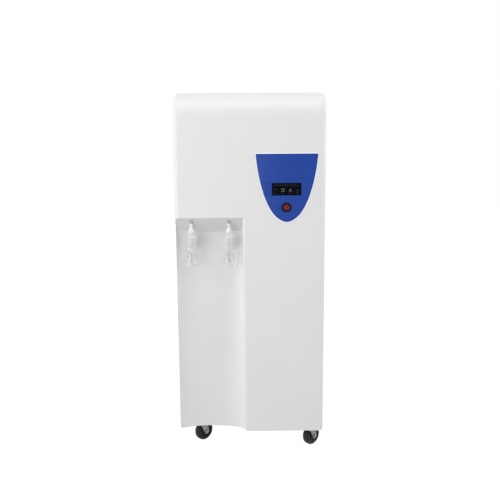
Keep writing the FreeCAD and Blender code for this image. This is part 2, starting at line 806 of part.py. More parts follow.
def caster_fork():
    """The swivel crown and its two legs, at the origin with the wheel trailing along +X."""
    wheel_radius = wheel_diameter / 2
    top = caster_height - caster_plate_thickness - fit_gap
    crown_low = top - swivel_height
    inner = wheel_width / 2 + fork_wheel_gap
    outer = inner + fork_leg
    outline = [(0, top), (swivel_ring_radius - 2, top), (swivel_ring_radius, top - 2),
               (swivel_ring_radius, crown_low), (0, crown_low)]
    ring = turned(outline)
    front, back = -fork_boss_radius, caster_trail - 1
    crown = box(front, back, -outer, outer, crown_low, crown_low + fork_crown)
    pieces = [ring, crown]
    points = []
    high = crown_low + fork_crown - wheel_radius
    for corner, hand in ((front - caster_trail, 1), (back - caster_trail, -1)):
        angle = tangent_angle(corner, high, fork_boss_radius, hand)
        points.append((corner, high, angle))
    (front_x, front_z, front_angle), (back_x, back_z, back_angle) = points
    for side in (-outer, inner):
        centre = FreeCAD.Vector(caster_trail, side, wheel_radius)

        def at(dx, dz):
            return centre + FreeCAD.Vector(dx, 0, dz)

        touch_front = at(fork_boss_radius * math.cos(front_angle), fork_boss_radius * math.sin(front_angle))
        touch_back = at(fork_boss_radius * math.cos(back_angle), fork_boss_radius * math.sin(back_angle))
        wire = Part.Wire([
            Part.LineSegment(at(front_x, front_z), at(back_x, back_z)).toShape(),
            Part.LineSegment(at(back_x, back_z), touch_back).toShape(),
            Part.Arc(touch_back, at(0, -fork_boss_radius), touch_front).toShape(),
            Part.LineSegment(touch_front, at(front_x, front_z)).toShape(),
        ])
        pieces.append(Part.Face(wire).extrude(FreeCAD.Vector(0, fork_leg, 0)))
    fork = fused(pieces)
    fork = fork.cut(rod(kingpin_radius + shaft_gap, (0, 0, crown_low - 1), (0, 0, top + 1)))
    return fork.cut(rod(axle_radius + shaft_gap, (caster_trail, -outer - 1, wheel_radius),
                        (caster_trail, outer + 1, wheel_radius)))


def caster_axle():
    """The wheel's axle pin with a head on each end."""
    outer = wheel_width / 2 + fork_wheel_gap + fork_leg
    z = wheel_diameter / 2
    pin = rod(axle_radius, (caster_trail, -outer, z), (caster_trail, outer, z))
    left = rod(axle_head_radius, (caster_trail, -outer - axle_head, z), (caster_trail, -outer, z))
    right = rod(axle_head_radius, (caster_trail, outer, z), (caster_trail, outer + axle_head, z))
    return fused([pin, left, right])


def caster_wheel():
    """The black wheel: rounded tread, dished sides and a hub that runs on the axle."""
    radius = wheel_diameter / 2
    half = wheel_width / 2
    dish = half - wheel_side_recess
    bore = axle_radius + shaft_gap
    tread = radius - wheel_edge_round
    corner = wheel_edge_round * (1 - math.sqrt(0.5))
    edges = []

    def at(r, y):
        return FreeCAD.Vector(caster_trail + r, y, radius)

    corners = [at(tread, -half), at(tread - 3, -half), at(tread - 5, -dish), at(wheel_hub_radius + 1, -dish),
               at(wheel_hub_radius, -half), at(bore, -half), at(bore, half), at(wheel_hub_radius, half),
               at(wheel_hub_radius + 1, dish), at(tread - 5, dish), at(tread - 3, half), at(tread, half),
               at(radius - corner, half - corner), at(radius, half - wheel_edge_round),
               at(radius, wheel_edge_round - half), at(radius - corner, corner - half), at(tread, -half)]
    for start, end in zip(corners, corners[1:]):
        edges.append(Part.LineSegment(start, end).toShape())
    face = Part.Face(Part.Wire(edges))
    return face.revolve(FreeCAD.Vector(caster_trail, 0, radius), FreeCAD.Vector(0, 1, 0), 360)


# ---- water path ------------------------------------------------------------------------------
def prefilter_y(number):
    """The centre of one prefilter, counted from the front."""
    return front_y + prefilter_first_setback + number * prefilter_pitch


def prefilter_head(number):
    """A filter head bolted under the shelf, with a port at the front and at the rear."""
    y = prefilter_y(number)
    low = shelf_height - prefilter_head_height
    cap = turned([(0, shelf_height), (prefilter_head_radius - 6, shelf_height),
                  (prefilter_head_radius, shelf_height - 8), (prefilter_head_radius, low), (0, low)],
                 prefilter_x, y)
    reach = prefilter_head_radius + port_length
    ports = rod(port_radius, (prefilter_x, y - reach, prefilter_port),
                (prefilter_x, y + reach, prefilter_port))
    bore = rod(tube_bore_radius, (prefilter_x, y - reach - 1, prefilter_port),
               (prefilter_x, y + reach + 1, prefilter_port))
    return fused([cap, ports]).cut(bore)


def prefilter_bowl(number):
    """The screw-on bowl: a ribbed collar, a tapering wall and a round foot."""
    y = prefilter_y(number)
    top = shelf_height - prefilter_head_height
    collar = top - prefilter_collar_height
    foot = top - prefilter_bowl_length
    low_radius = prefilter_bowl_radius - prefilter_bowl_taper
    foot_radius = low_radius - prefilter_foot_inset
    foot_top = foot + prefilter_foot_height
    shoulder = collar - (prefilter_head_radius - prefilter_bowl_radius)
    wall = prefilter_bowl_wall
    body = turned([(0, top), (prefilter_head_radius, top), (prefilter_head_radius, collar),
                   (prefilter_bowl_radius, shoulder), (low_radius, foot_top),
                   (foot_radius, foot), (0, foot)], prefilter_x, y)
    hollow = turned([(0, top + 1), (prefilter_bowl_radius - wall, top + 1), (low_radius - wall, foot_top),
                     (foot_radius - wall, foot + wall), (0, foot + wall)], prefilter_x, y)
    body = body.cut(hollow)
    pieces = [body]
    for step in range(prefilter_ribs):
        rib = box(prefilter_head_radius - prefilter_rib_reach, prefilter_head_radius + prefilter_rib_reach,
                  -prefilter_rib_width / 2, prefilter_rib_width / 2, collar, top)
        rib.rotate(FreeCAD.Vector(0, 0, 0), FreeCAD.Vector(0, 0, 1), 360 * step / prefilter_ribs)
        rib.translate(FreeCAD.Vector(prefilter_x, y, 0))
        pieces.append(rib)
    return fused(pieces)


def pressure_tank():
    """The steel pressure tank with domed ends on a foot ring."""
    foot = pan_top
    low = foot + tank_foot_height - 10
    high = foot + tank_height
    bottom_edge = low + tank_dome
    top_edge = high - tank_dome

    def at(r, z):
        return FreeCAD.Vector(tank_x + r, tank_y, z)

    lean = math.sqrt(0.5)
    wire = Part.Wire([
        Part.LineSegment(at(0, low), at(tank_radius - tank_dome, low)).toShape(),
        Part.Arc(at(tank_radius - tank_dome, low),
                 at(tank_radius - tank_dome * (1 - lean), bottom_edge - tank_dome * lean),
                 at(tank_radius, bottom_edge)).toShape(),
        Part.LineSegment(at(tank_radius, bottom_edge), at(tank_radius, top_edge)).toShape(),
        Part.Arc(at(tank_radius, top_edge),
                 at(tank_radius - tank_dome * (1 - lean), top_edge + tank_dome * lean),
                 at(tank_radius - tank_dome, high)).toShape(),
        Part.LineSegment(at(tank_radius - tank_dome, high), at(tank_neck_radius, high)).toShape(),
        Part.LineSegment(at(tank_neck_radius, high), at(tank_neck_radius, high + tank_neck_height)).toShape(),
        Part.LineSegment(at(tank_neck_radius, high + tank_neck_height),
                         at(0, high + tank_neck_height)).toShape(),
        Part.LineSegment(at(0, high + tank_neck_height), at(0, low)).toShape(),
    ])
    shell = Part.Face(wire).revolve(FreeCAD.Vector(tank_x, tank_y, 0), FreeCAD.Vector(0, 0, 1), 360)
    ring = turned([(tank_foot_radius - tank_foot_wall, foot), (tank_foot_radius, foot),
                   (tank_foot_radius, low + 2), (tank_foot_radius - tank_foot_wall, low + 2)],
                  tank_x, tank_y)
    return fused([shell, ring])


def tank_valve():
    """The ball valve on the tank's neck, with a port to the front and one to the right."""
    low = valve_top - valve_body_height
    body = rounded_box(tank_x - valve_body_radius, tank_x + valve_body_radius,
                       tank_y - valve_body_radius, tank_y + valve_body_radius, low, valve_top, 4.0, (0, 0, 1))
    front = rod(port_radius, (tank_x, tank_y, valve_mid),
                (tank_x, tank_y - valve_body_radius - port_length, valve_mid))
    right = rod(port_radius, (tank_x, tank_y, valve_mid),
                (tank_x + valve_body_radius + port_length, tank_y, valve_mid))
    well = rod(lever_stem_radius + shaft_gap, (tank_x, tank_y, valve_top - lever_stem_length),
               (tank_x, tank_y, valve_top + 1))
    return fused([body, front, right]).cut(well)


def tank_valve_lever():
    """The quarter-turn lever: a stem in the valve and a flat handle with a round end."""
    low = valve_top + fit_gap
    high = low + lever_thickness
    half = lever_width / 2
    stem = rod(lever_stem_radius, (tank_x, tank_y, valve_top - lever_stem_length + fit_gap),
               (tank_x, tank_y, high))
    arm = box(tank_x - half, tank_x + half, tank_y - lever_length, tank_y, low, high)
    near = rod(half, (tank_x, tank_y, low), (tank_x, tank_y, high))
    far = rod(half, (tank_x, tank_y - lever_length, low), (tank_x, tank_y - lever_length, high))
    return fused([stem, arm, near, far])


def booster_pump():
    """The diaphragm pump on its foot: round motor behind, square head in front."""
    y0 = pump_y - pump_length / 2
    head_end = y0 + pump_head_length
    half = pump_head_size / 2
    head = rounded_box(pump_x - half, pump_x + half, y0, head_end, pump_mid - half, pump_mid + half,
                       8.0, (0, 1, 0))
    motor = rod(pump_motor_radius - 2, (pump_x, head_end, pump_mid), (pump_x, y0 + pump_length, pump_mid))
    foot = box(pump_x - half, pump_x + half, y0 + pump_foot_inset, y0 + pump_length - pump_foot_inset,
               pan_top, pan_top + pump_foot_plate)
    web = box(pump_x - half / 2, pump_x + half / 2, y0 + pump_web_inset, y0 + pump_length - pump_web_inset,
              pan_top, pump_mid)
    ports = [rod(port_radius, (pump_x + side * pump_port_spread, y0 - port_length, pump_mid),
                 (pump_x + side * pump_port_spread, y0 + 1, pump_mid)) for side in (-1, 1)]
    return fused([head, motor, foot, web] + ports)


def vessel(x, bottom, radius, cap_radius, low_cap, high_cap, ports):
    """An upright pressure vessel with a cap at each end and the ports it needs."""
    face = cap_radius - cap_chamfer
    outline = [(0, bottom), (face, bottom), (cap_radius, bottom + cap_chamfer),
               (cap_radius, bottom + low_cap), (radius, bottom + low_cap),
               (radius, vessel_top - high_cap), (cap_radius, vessel_top - high_cap),
               (cap_radius, vessel_top - cap_chamfer), (face, vessel_top), (0, vessel_top)]
    pieces = [turned(outline, x, housing_y)]
    for end in ports:
        if end == "top":
            pieces.append(rod(port_radius, (x, housing_y, vessel_top - 1),
                              (x, housing_y, vessel_top + port_length)))
        elif end == "bottom":
            pieces.append(rod(port_radius, (x, housing_y, bottom - port_length), (x, housing_y, bottom + 1)))
        else:
            pieces.append(rod(port_radius, (x, housing_y, end), (x, housing_y - housing_port_length, end)))
    return fused(pieces)


def ro_housing(number):
    """A membrane housing on the shelf: a port on each cap's front and one on top."""
    x = ro_first_x + number * ro_pitch
    return vessel(x, shelf_top, housing_radius, housing_cap_radius,
                  housing_cap_height, housing_cap_height, [ro_low_port, ro_high_port, "top"])


def di_cartridge(number):
    """An ion-exchange cartridge held in its clips clear of the shelf."""
    x = di_x + number * di_pitch
    lower = "bottom" if number == 0 else di_front_port
    return vessel(x, di_bottom, di_radius - 2, di_radius, di_cap_height, di_cap_height, [lower, "top"])


def uv_chamber():
    """The stainless lamp chamber: water enters low at the front and leaves at the top."""
    return vessel(uv_x, shelf_top, uv_radius, uv_cap_radius, di_front_port - shelf_top + port_radius + 4,
                  di_cap_height, [di_front_port, "top"])


def dispense_valve(x):
    """The solenoid valve on top of an outlet stem, held against the inside of the hood."""
    half = solenoid_size / 2
    body_top = stem_top + solenoid_body_height
    body = rounded_box(x - half, x + half, solenoid_y - half, solenoid_y + half,
                       stem_top, body_top, 3.0, (0, 0, 1))
    coil = rod(solenoid_coil_radius, (x, solenoid_y, body_top),
               (x, solenoid_y, solenoid_top - port_length))
    port = rod(port_radius, (x, solenoid_y, solenoid_top - port_length - 1), (x, solenoid_y, solenoid_top))
    return fused([body, coil, port])


def housing_clips():
    """Spring clips that hold the upright vessels to the mounting plate."""
    clips = []
    vessels = [(ro_first_x, housing_radius), (ro_first_x + ro_pitch, housing_radius),
               (di_x, di_radius - 2), (di_x + di_pitch, di_radius - 2), (uv_x, uv_radius)]
    for x, radius in vessels:
        for z in (clip_low, clip_high):
            inner = radius + shaft_gap
            ring = turned([(inner, z), (inner + clip_wall, z), (inner + clip_wall, z + clip_height),
                           (inner, z + clip_height)], x, housing_y)
            mouth = plate_from([(x - inner * 0.7, housing_y - inner * 0.7, z - 1),
                                (x + inner * 0.7, housing_y - inner * 0.7, z - 1),
                                (x + 2 * inner, housing_y - 3 * inner, z - 1),
                                (x - 2 * inner, housing_y - 3 * inner, z - 1)],
                               clip_height + 2, (0, 0, 1))
            foot = box(x - clip_foot / 2, x + clip_foot / 2, housing_y + inner + clip_wall / 2, plate_y,
                       z, z + clip_height)
            clips.append(fused([ring.cut(mouth), foot]))
    return group(clips)


def internal_tubing():
    """The water tubes between the pieces, each a length that seats on two ports."""
    head_reach = prefilter_head_radius + port_length
    vessel_front = housing_y - housing_port_length
    pump_front = pump_y - pump_length / 2 - port_length
    back_lane = post_front - front_lane_gap
    front_lane = back_lane - lane_pitch
    link_lane = vessel_front - link_reach
    link_top = vessel_top + port_length + link_reach
    port_top = vessel_top + port_length
    last = prefilter_count - 1
    runs = []
    for number in range(last):
        runs.append([(prefilter_x, prefilter_y(number) + head_reach, prefilter_port),
                     (prefilter_x, prefilter_y(number + 1) - head_reach, prefilter_port)])
    runs.append([(prefilter_x, prefilter_y(last) + head_reach, prefilter_port),
                 (prefilter_x, rear_y - rear_port_tail, prefilter_port)])
    runs.append([(prefilter_x, prefilter_y(0) - head_reach, prefilter_port),
                 (prefilter_x, back_lane, prefilter_port), (prefilter_x, back_lane, pump_mid),
                 (prefilter_x, pump_front, pump_mid)])
    pump_out_x = pump_x - pump_port_spread
    runs.append([(pump_out_x, pump_front, pump_mid), (pump_out_x, front_lane, pump_mid),
                 (pump_out_x, front_lane, ro_low_port), (ro_first_x, front_lane, ro_low_port),
                 (ro_first_x, vessel_front, ro_low_port)])
    runs.append([(ro_first_x, vessel_front, ro_high_port), (ro_first_x, link_lane, ro_high_port),
                 (tank_x, link_lane, ro_high_port), (tank_x, vessel_front, ro_high_port)])
    runs.append([(tank_x, vessel_front, ro_low_port), (tank_x, back_lane, ro_low_port),
                 (tank_x, back_lane, valve_mid),
                 (tank_x, tank_y - valve_body_radius - port_length, valve_mid)])
    runs.append([(tank_x + valve_body_radius + port_length, tank_y, valve_mid),
                 (di_x, tank_y, valve_mid), (di_x, housing_y, di_bottom - port_length)])
    di_last_x = di_x + di_pitch
    runs.append([(di_x, housing_y, port_top), (di_x, housing_y, link_top),
                 (di_last_x, housing_y, link_top), (di_last_x, housing_y, port_top)])
    runs.append([(di_last_x, vessel_front, di_front_port), (di_last_x, link_lane, di_front_port),
                 (uv_x, link_lane, di_front_port), (uv_x, vessel_front, di_front_port)])
    runs.append([(uv_x, housing_y, port_top), (uv_x, housing_y, high_lane),
                 (uv_x, solenoid_y, high_lane), (outlet_right_x, solenoid_y, high_lane),
                 (outlet_right_x, solenoid_y, solenoid_top)])
    runs.append([(ro_first_x, housing_y, port_top), (ro_first_x, housing_y, high_lane),
                 (outlet_left_x, solenoid_y, high_lane), (outlet_left_x, solenoid_y, solenoid_top)])
    drain_y = plate_y + drain_lane
    runs.append([(tank_x, housing_y, port_top), (tank_x, housing_y, high_lane),
                 (tank_x, drain_y, high_lane), (tank_x, drain_y, drain_port_height),
                 (tank_x, rear_y - rear_port_tail, drain_port_height)])
    return group([tube(points) for points in runs])


# ---- rear fittings ---------------------------------------------------------------------------
def rear_port(x, z):
    """A bulkhead fitting through the rear panel: flange outside, hose bore right through."""
    inside = rear_y - rear_port_tail
    outside = rear_y + rear_reach
    body = rod(rear_port_radius, (x, inside, z), (x, outside, z))
    flange = rod(rear_port_flange_radius, (x, rear_y, z), (x, rear_y + rear_port_flange, z))
    bore = rod(rear_port_bore, (x, outside - rear_port_socket, z), (x, outside + 1, z))
    way = rod(tube_bore_radius, (x, inside - 1, z), (x, outside, z))
    return fused([body, flange]).cut(bore).cut(way)


def power_inlet():
    """The mains inlet: flange, body through the panel, socket and three blades."""
    flange_back = rear_y
    flange_face = rear_y + inlet_flange
    flange = rounded_box(inlet_x - inlet_width / 2, inlet_x + inlet_width / 2, flange_back, flange_face,
                         inlet_height - inlet_tall / 2, inlet_height + inlet_tall / 2, 3.0, (0, 1, 0))
    body = box(inlet_x - inlet_body_width / 2, inlet_x + inlet_body_width / 2,
               rear_y - inlet_body_depth, flange_back,
               inlet_height - inlet_body_tall / 2, inlet_height + inlet_body_tall / 2)
    floor = flange_face - inlet_socket_depth
    socket = box(inlet_x - inlet_socket_width / 2, inlet_x + inlet_socket_width / 2, floor, flange_face + 1,
                 inlet_height - inlet_socket_tall / 2, inlet_height + inlet_socket_tall / 2)
    housing = fused([flange, body]).cut(socket)
    blades = []
    for column, drop in ((-1, 0.5), (0, -0.5), (1, 0.5)):
        x = inlet_x + column * inlet_pin_pitch
        z = inlet_height - drop * inlet_pin_width
        blades.append(box(x - inlet_pin_thickness / 2, x + inlet_pin_thickness / 2,
                          floor, floor + inlet_pin_length,
                          z - inlet_pin_width / 2, z + inlet_pin_width / 2))
    return fused([housing] + blades)


def panel_screws():
    """The pan-head screws that hold the rear panel, seated on its face."""
    heads = []
    low = cabinet_bottom + screw_margin
    high = cabinet_top - 2 * screw_margin
    for hand in (-1, 1):
        for step in range(screw_count):
            x = hand * (half_width - screw_margin)
            z = low + (high - low) * step / (screw_count - 1)
            heads.append(Part.makeCone(screw_radius, screw_radius - screw_head / 2, screw_head,
                                       FreeCAD.Vector(x, rear_y, z), FreeCAD.Vector(0, 1, 0)))
    return group(heads)


def write(node, shape):
    """Writes one node's solids to its own file and reports their number and volume."""
    if not shape.isValid():
        print("NOT VALID", node)
    print("%-24s solids %2d volume %.0f" % (node, len(shape.Solids), shape.Volume))
    shape.exportStep("parts/%s.step" % node)


def build():
    """Makes and writes every piece."""
    os.makedirs("parts", exist_ok=True)
    write("front_moulding", front_moulding())
    write("top_panel", top_panel())
    write("left_side_panel", side_panel(-1))
    write("right_side_panel", side_panel(1))
    write("rear_panel", rear_panel())
    write("base_pan", base_pan())
    write("frame_posts", frame_posts())
    write("equipment_shelf", equipment_shelf())
    write("mounting_plate", mounting_plate())
    write("housing_clips", housing_clips())
    write("control_fascia", control_fascia())
    write("display_lens", display_lens())
    write("display_module", display_module())
    write("power_switch_bezel", power_switch_bezel())
    write("power_button", power_button())
    write("control_board", control_board())
    write("power_supply", power_supply())
    for side, x in (("left", outlet_left_x), ("right", outlet_right_x)):
        write("outlet_stem_" + side, outlet_stem(x))
        write("outlet_union_" + side, outlet_union(x))
        write("capsule_filter_" + side, capsule_filter(x))
        write("filling_bell_" + side, filling_bell(x))
        write("dispense_valve_" + side, dispense_valve(x))
    for number in range(prefilter_count):
        write("prefilter_head_%d" % (number + 1), prefilter_head(number))
        write("prefilter_bowl_%d" % (number + 1), prefilter_bowl(number))
    write("booster_pump", booster_pump())
    for number in range(2):
        write("ro_housing_%d" % (number + 1), ro_housing(number))
        write("di_cartridge_%d" % (number + 1), di_cartridge(number))
    write("uv_chamber", uv_chamber())
    write("pressure_tank", pressure_tank())
    write("tank_valve", tank_valve())
    write("tank_valve_lever", tank_valve_lever())
    write("internal_tubing", internal_tubing())
    write("feed_port", rear_port(prefilter_x, prefilter_port))
    write("drain_port", rear_port(tank_x, drain_port_height))
    write("power_inlet", power_inlet())
    write("panel_screws", panel_screws())
    write("caster_plates", caster_plates())
    for name, x, y in caster_places():
        write("caster_fork_" + name, turn_into_place(caster_fork(), x, y))
        write("caster_axle_" + name, turn_into_place(caster_axle(), x, y))
        write("caster_wheel_" + name, turn_into_place(caster_wheel(), x, y))


build()
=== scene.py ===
import json
import math

import bpy
from mathutils import Matrix, Vector


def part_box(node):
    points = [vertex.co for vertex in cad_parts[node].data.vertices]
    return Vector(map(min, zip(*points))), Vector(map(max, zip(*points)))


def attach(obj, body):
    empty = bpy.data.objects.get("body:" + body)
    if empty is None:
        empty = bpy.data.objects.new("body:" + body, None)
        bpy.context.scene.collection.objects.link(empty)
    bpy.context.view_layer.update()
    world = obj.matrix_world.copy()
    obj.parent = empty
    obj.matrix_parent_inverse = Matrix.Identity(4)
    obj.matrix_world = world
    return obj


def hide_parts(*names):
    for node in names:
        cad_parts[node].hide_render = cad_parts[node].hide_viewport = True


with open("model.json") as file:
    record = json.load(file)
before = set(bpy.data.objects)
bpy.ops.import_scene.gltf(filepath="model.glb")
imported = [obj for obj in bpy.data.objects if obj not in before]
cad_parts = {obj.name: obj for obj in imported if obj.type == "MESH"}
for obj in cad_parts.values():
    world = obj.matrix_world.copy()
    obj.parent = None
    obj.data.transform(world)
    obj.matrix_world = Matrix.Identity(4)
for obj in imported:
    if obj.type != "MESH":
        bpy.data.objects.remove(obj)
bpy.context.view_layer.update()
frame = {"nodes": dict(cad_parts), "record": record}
scene = bpy.context.scene


# ---- places taken from the frame (metres) -------------------------------------------------------
def middle(node):
    """The middle of one piece's box."""
    low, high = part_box(node)
    return (Vector(low) + Vector(high)) / 2


front_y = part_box("front_moulding")[0][1]
rear_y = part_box("rear_panel")[1][1]
shield_low, shield_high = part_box("control_fascia")
lens_low, lens_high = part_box("display_lens")
collar_low, collar_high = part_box("power_switch_bezel")
button_low, button_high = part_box("power_button")
shield_x = (shield_low[0] + shield_high[0]) / 2
button_z = (button_low[2] + button_high[2]) / 2
SIDES = ("left", "right")
CORNERS = ("front_left", "front_right", "rear_left", "rear_right")


# ---- shared shader groups -----------------------------------------------------------------------
def new_group(name, inputs, outputs):
    """An empty shader group with named sockets; inputs are (name, type, default)."""
    group = bpy.data.node_groups.new(name, "ShaderNodeTree")
    for label, kind, value in inputs:
        socket = group.interface.new_socket(name=label, in_out="INPUT", socket_type=kind)
        socket.default_value = value
    for label, kind in outputs:
        group.interface.new_socket(name=label, in_out="OUTPUT", socket_type=kind)
    return group, group.nodes.new("NodeGroupInput"), group.nodes.new("NodeGroupOutput")


def feed(tree, socket, value):
    """Gives a socket a plain value, or links it to the output that brings one."""
    if isinstance(value, (int, float, tuple)):
        socket.default_value = value
    else:
        tree.links.new(value, socket)


def maths(tree, operation, a, b, clamp=False):
    """A math node fed by outputs or plain numbers."""
    node = tree.nodes.new("ShaderNodeMath")
    node.operation = operation
    node.use_clamp = clamp
    feed(tree, node.inputs[0], a)
    feed(tree, node.inputs[1], b)
    return node.outputs[0]


def noise(tree, vector, scale, detail, roughness):
    """A noise texture on the given coordinates, with its scale from an output."""
    node = tree.nodes.new("ShaderNodeTexNoise")
    node.inputs["Detail"].default_value = detail
    node.inputs["Roughness"].default_value = roughness
    tree.links.new(vector, node.inputs["Vector"])
    tree.links.new(scale, node.inputs["Scale"])
    return node.outputs["Fac"]


def remap(tree, value, low, high, new_low=0.0, new_high=1.0):
    """Maps a value from one range to another and clamps it."""
    node = tree.nodes.new("ShaderNodeMapRange")
    tree.links.new(value, node.inputs["Value"])
    for label, number in (("From Min", low), ("From Max", high),
                          ("To Min", new_low), ("To Max", new_high)):
        feed(tree, node.inputs[label], number)
    return node.outputs["Result"]


def make_surface_grain():
    """Fine grain of a moulded or coated skin: a height, and a mask that wanders slowly."""
    group, given, result = new_group(
        "surface_grain",
        [("Scale", "NodeSocketFloat", 900.0), ("Patch Scale", "NodeSocketFloat", 6.0)],
        [("Height", "NodeSocketFloat"), ("Patches", "NodeSocketFloat")])
    place = group.nodes.new("ShaderNodeTexCoord").outputs["Object"]
    fine = noise(group, place, given.outputs["Scale"], 2.0, 0.5)
    slow = noise(group, place, given.outputs["Patch Scale"], 3.0, 0.55)
    group.links.new(fine, result.inputs["Height"])
    group.links.new(remap(group, slow, 0.3, 0.7), result.inputs["Patches"])
    return group


def make_handling_marks():
    """Faint rubbed streaks and specks of dust, as a mask from 0, clean, to 1."""
    drawn_up = (1.0, 1.0, 0.12)
    group, given, result = new_group(
        "handling_marks",
        [("Streak Scale", "NodeSocketFloat", 18.0), ("Speck Scale", "NodeSocketFloat", 260.0)],
        [("Streaks", "NodeSocketFloat"), ("Specks", "NodeSocketFloat")])
    coordinates = group.nodes.new("ShaderNodeTexCoord")
    stretch = group.nodes.new("ShaderNodeMapping")
    stretch.inputs["Scale"].default_value = drawn_up
    group.links.new(coordinates.outputs["Object"], stretch.inputs["Vector"])
    streaks = noise(group, stretch.outputs["Vector"], given.outputs["Streak Scale"], 5.0, 0.6)
    specks = noise(group, coordinates.outputs["Object"], given.outputs["Speck Scale"], 1.0, 0.4)
    group.links.new(remap(group, streaks, 0.55, 0.75), result.inputs["Streaks"])
    group.links.new(remap(group, specks, 0.68, 0.74), result.inputs["Specks"])
    return group


def make_worn_edges():
    """A mask of the outer edges, broken up as handling breaks it."""
    flat, fade = 0.5, 0.08
    group, given, result = new_group(
        "worn_edges",
        [("Spread", "NodeSocketFloat", 0.06), ("Break Scale", "NodeSocketFloat", 140.0)],
        [("Mask", "NodeSocketFloat")])
    shape = group.nodes.new("ShaderNodeNewGeometry")
    place = group.nodes.new("ShaderNodeTexCoord").outputs["Object"]
    start = maths(group, "ADD", given.outputs["Spread"], flat)
    end = maths(group, "ADD", start, fade)
    edge = remap(group, shape.outputs["Pointiness"], start, end)
    gaps = noise(group, place, given.outputs["Break Scale"], 4.0, 0.6)
    broken = remap(group, gaps, 0.4, 0.62)
    group.links.new(maths(group, "MULTIPLY", edge, broken), result.inputs["Mask"])
    return group


surface_grain = make_surface_grain()
handling_marks = make_handling_marks()
worn_edges = make_worn_edges()


def place_group(tree, group, **values):
    """Places a shared group in a material with its own values."""
    node = tree.nodes.new("ShaderNodeGroup")
    node.node_tree = group
    for label, value in values.items():
        node.inputs[label.replace("_", " ")].default_value = value
    return node


def blend_colour(tree, mask, first, second):
    """Mixes two colours by a mask."""
    node = tree.nodes.new("ShaderNodeMix")
    node.data_type = "RGBA"
    tree.links.new(mask, node.inputs["Factor"])
    for label, colour in (("A", first), ("B", second)):
        feed(tree, node.inputs[label], colour + (1.0,) if isinstance(colour, tuple) else colour)
    return node.outputs["Result"]


DUST_SHARE, DUST_LIFT = 0.82, 0.02
STREAK_DULLING = 0.06
GRAIN_STRENGTH = 0.5
finishes = {}


def finish_material(name, colour, other, rough, spread, grain, depth,
                    marks=0.0, metal=0.0, coat=0.0, sheen=0.5, patch=6.0, extra=None):
    """A skin with two near shades in patches, uneven gloss, a fine grain and faint marks.

    The roughness wanders by its spread, grain and patch are scales, and depth is in metres.
    """
    material = bpy.data.materials.new(name)
    material.use_nodes = True
    tree = material.node_tree
    shader = tree.nodes["Principled BSDF"]
    shader.inputs["Metallic"].default_value = metal
    shader.inputs["Coat Weight"].default_value = coat
    shader.inputs["Specular IOR Level"].default_value = sheen
    skin = place_group(tree, surface_grain, Scale=grain, Patch_Scale=patch)
    hands = place_group(tree, handling_marks)
    patches = skin.outputs["Patches"]
    shade = blend_colour(tree, patches, colour, other)
    if marks:
        dusty = tuple(c * DUST_SHARE + DUST_LIFT for c in colour)
        specks = maths(tree, "MULTIPLY", hands.outputs["Specks"], marks)
        shade = blend_colour(tree, specks, shade, dusty)
    tree.links.new(shade, shader.inputs["Base Color"])
    gloss = remap(tree, patches, 0.0, 1.0, rough - spread, rough + spread)
    streaks = maths(tree, "MULTIPLY", hands.outputs["Streaks"], STREAK_DULLING)
    tree.links.new(maths(tree, "ADD", gloss, streaks, clamp=True), shader.inputs["Roughness"])
    bump = tree.nodes.new("ShaderNodeBump")
    bump.inputs["Strength"].default_value = GRAIN_STRENGTH
    bump.inputs["Distance"].default_value = depth
    tree.links.new(skin.outputs["Height"], bump.inputs["Height"])
    tree.links.new(bump.outputs["Normal"], shader.inputs["Normal"])
    if extra:
        extra(tree, shader, shade)
    finishes[name] = material


def wear_to(bright, amount):
    """Adds rubbed outer edges in a brighter shade."""
    def add(tree, shader, shade):
        edges = place_group(tree, worn_edges)
        mask = maths(tree, "MULTIPLY", edges.outputs["Mask"], amount)
        tree.links.new(blend_colour(tree, mask, shade, bright), shader.inputs["Base Color"])
    return add


def see_through(weight, ior, thin, thick):
    """Lets light through the piece, a little less where its wall is cloudy."""
    def add(tree, shader, shade):
        shader.inputs["Transmission Weight"].default_value = weight
        shader.inputs["IOR"].default_value = ior
        cloud = place_group(tree, surface_grain, Scale=240.0, Patch_Scale=70.0)
        cover = remap(tree, cloud.outputs["Patches"], 0.0, 1.0, thin, thick)
        tree.links.new(cover, shader.inputs["Alpha"])
    return add


def softened(weight, radius):
    """Lets light scatter a little way into the piece."""
    def add(tree, shader, shade):
        shader.inputs["Subsurface Weight"].default_value = weight
        shader.inputs["Subsurface Scale"].default_value = radius
        shader.inputs["Subsurface Radius"].default_value = (1.0, 0.9, 0.8)
    return add


finish_material("white_shell", (0.804, 0.804, 0.806), (0.789, 0.789, 0.791),
                0.42, 0.04, 700.0, 0.00003, marks=0.15, coat=0.08)
finish_material("painted_panel", (0.780, 0.786, 0.790), (0.765, 0.771, 0.776),
                0.48, 0.04, 420.0, 0.00006, marks=0.2)
finish_material("zinc_sheet", (0.55, 0.56, 0.57), (0.46, 0.47, 0.49),
                0.42, 0.08, 90.0, 0.00003, metal=1.0, patch=60.0)
finish_material("shield_blue", (0.0130, 0.0590, 0.345), (0.0118, 0.0560, 0.334),
                0.38, 0.04, 600.0, 0.00002, marks=0.1, sheen=0.3)
finish_material("shield_edge", (0.94, 0.955, 0.98), (0.925, 0.945, 0.97),
                0.3, 0.04, 600.0, 0.00002)
finish_material("smoked_window", (0.0022, 0.0028, 0.0045), (0.0032, 0.0038, 0.0060),
                0.16, 0.03, 300.0, 0.00001, marks=0.12, sheen=0.08)
finish_material("window_symbols", (0.20, 0.21, 0.22), (0.16, 0.17, 0.18),
                0.5, 0.05, 900.0, 0.00001)
finish_material("window_dots", (0.048, 0.050, 0.056), (0.040, 0.042, 0.048),
                0.5, 0.05, 900.0, 0.00001)
finish_material("collar_black", (0.004, 0.003, 0.006), (0.007, 0.006, 0.009),
                0.36, 0.05, 500.0, 0.00003, sheen=0.12)
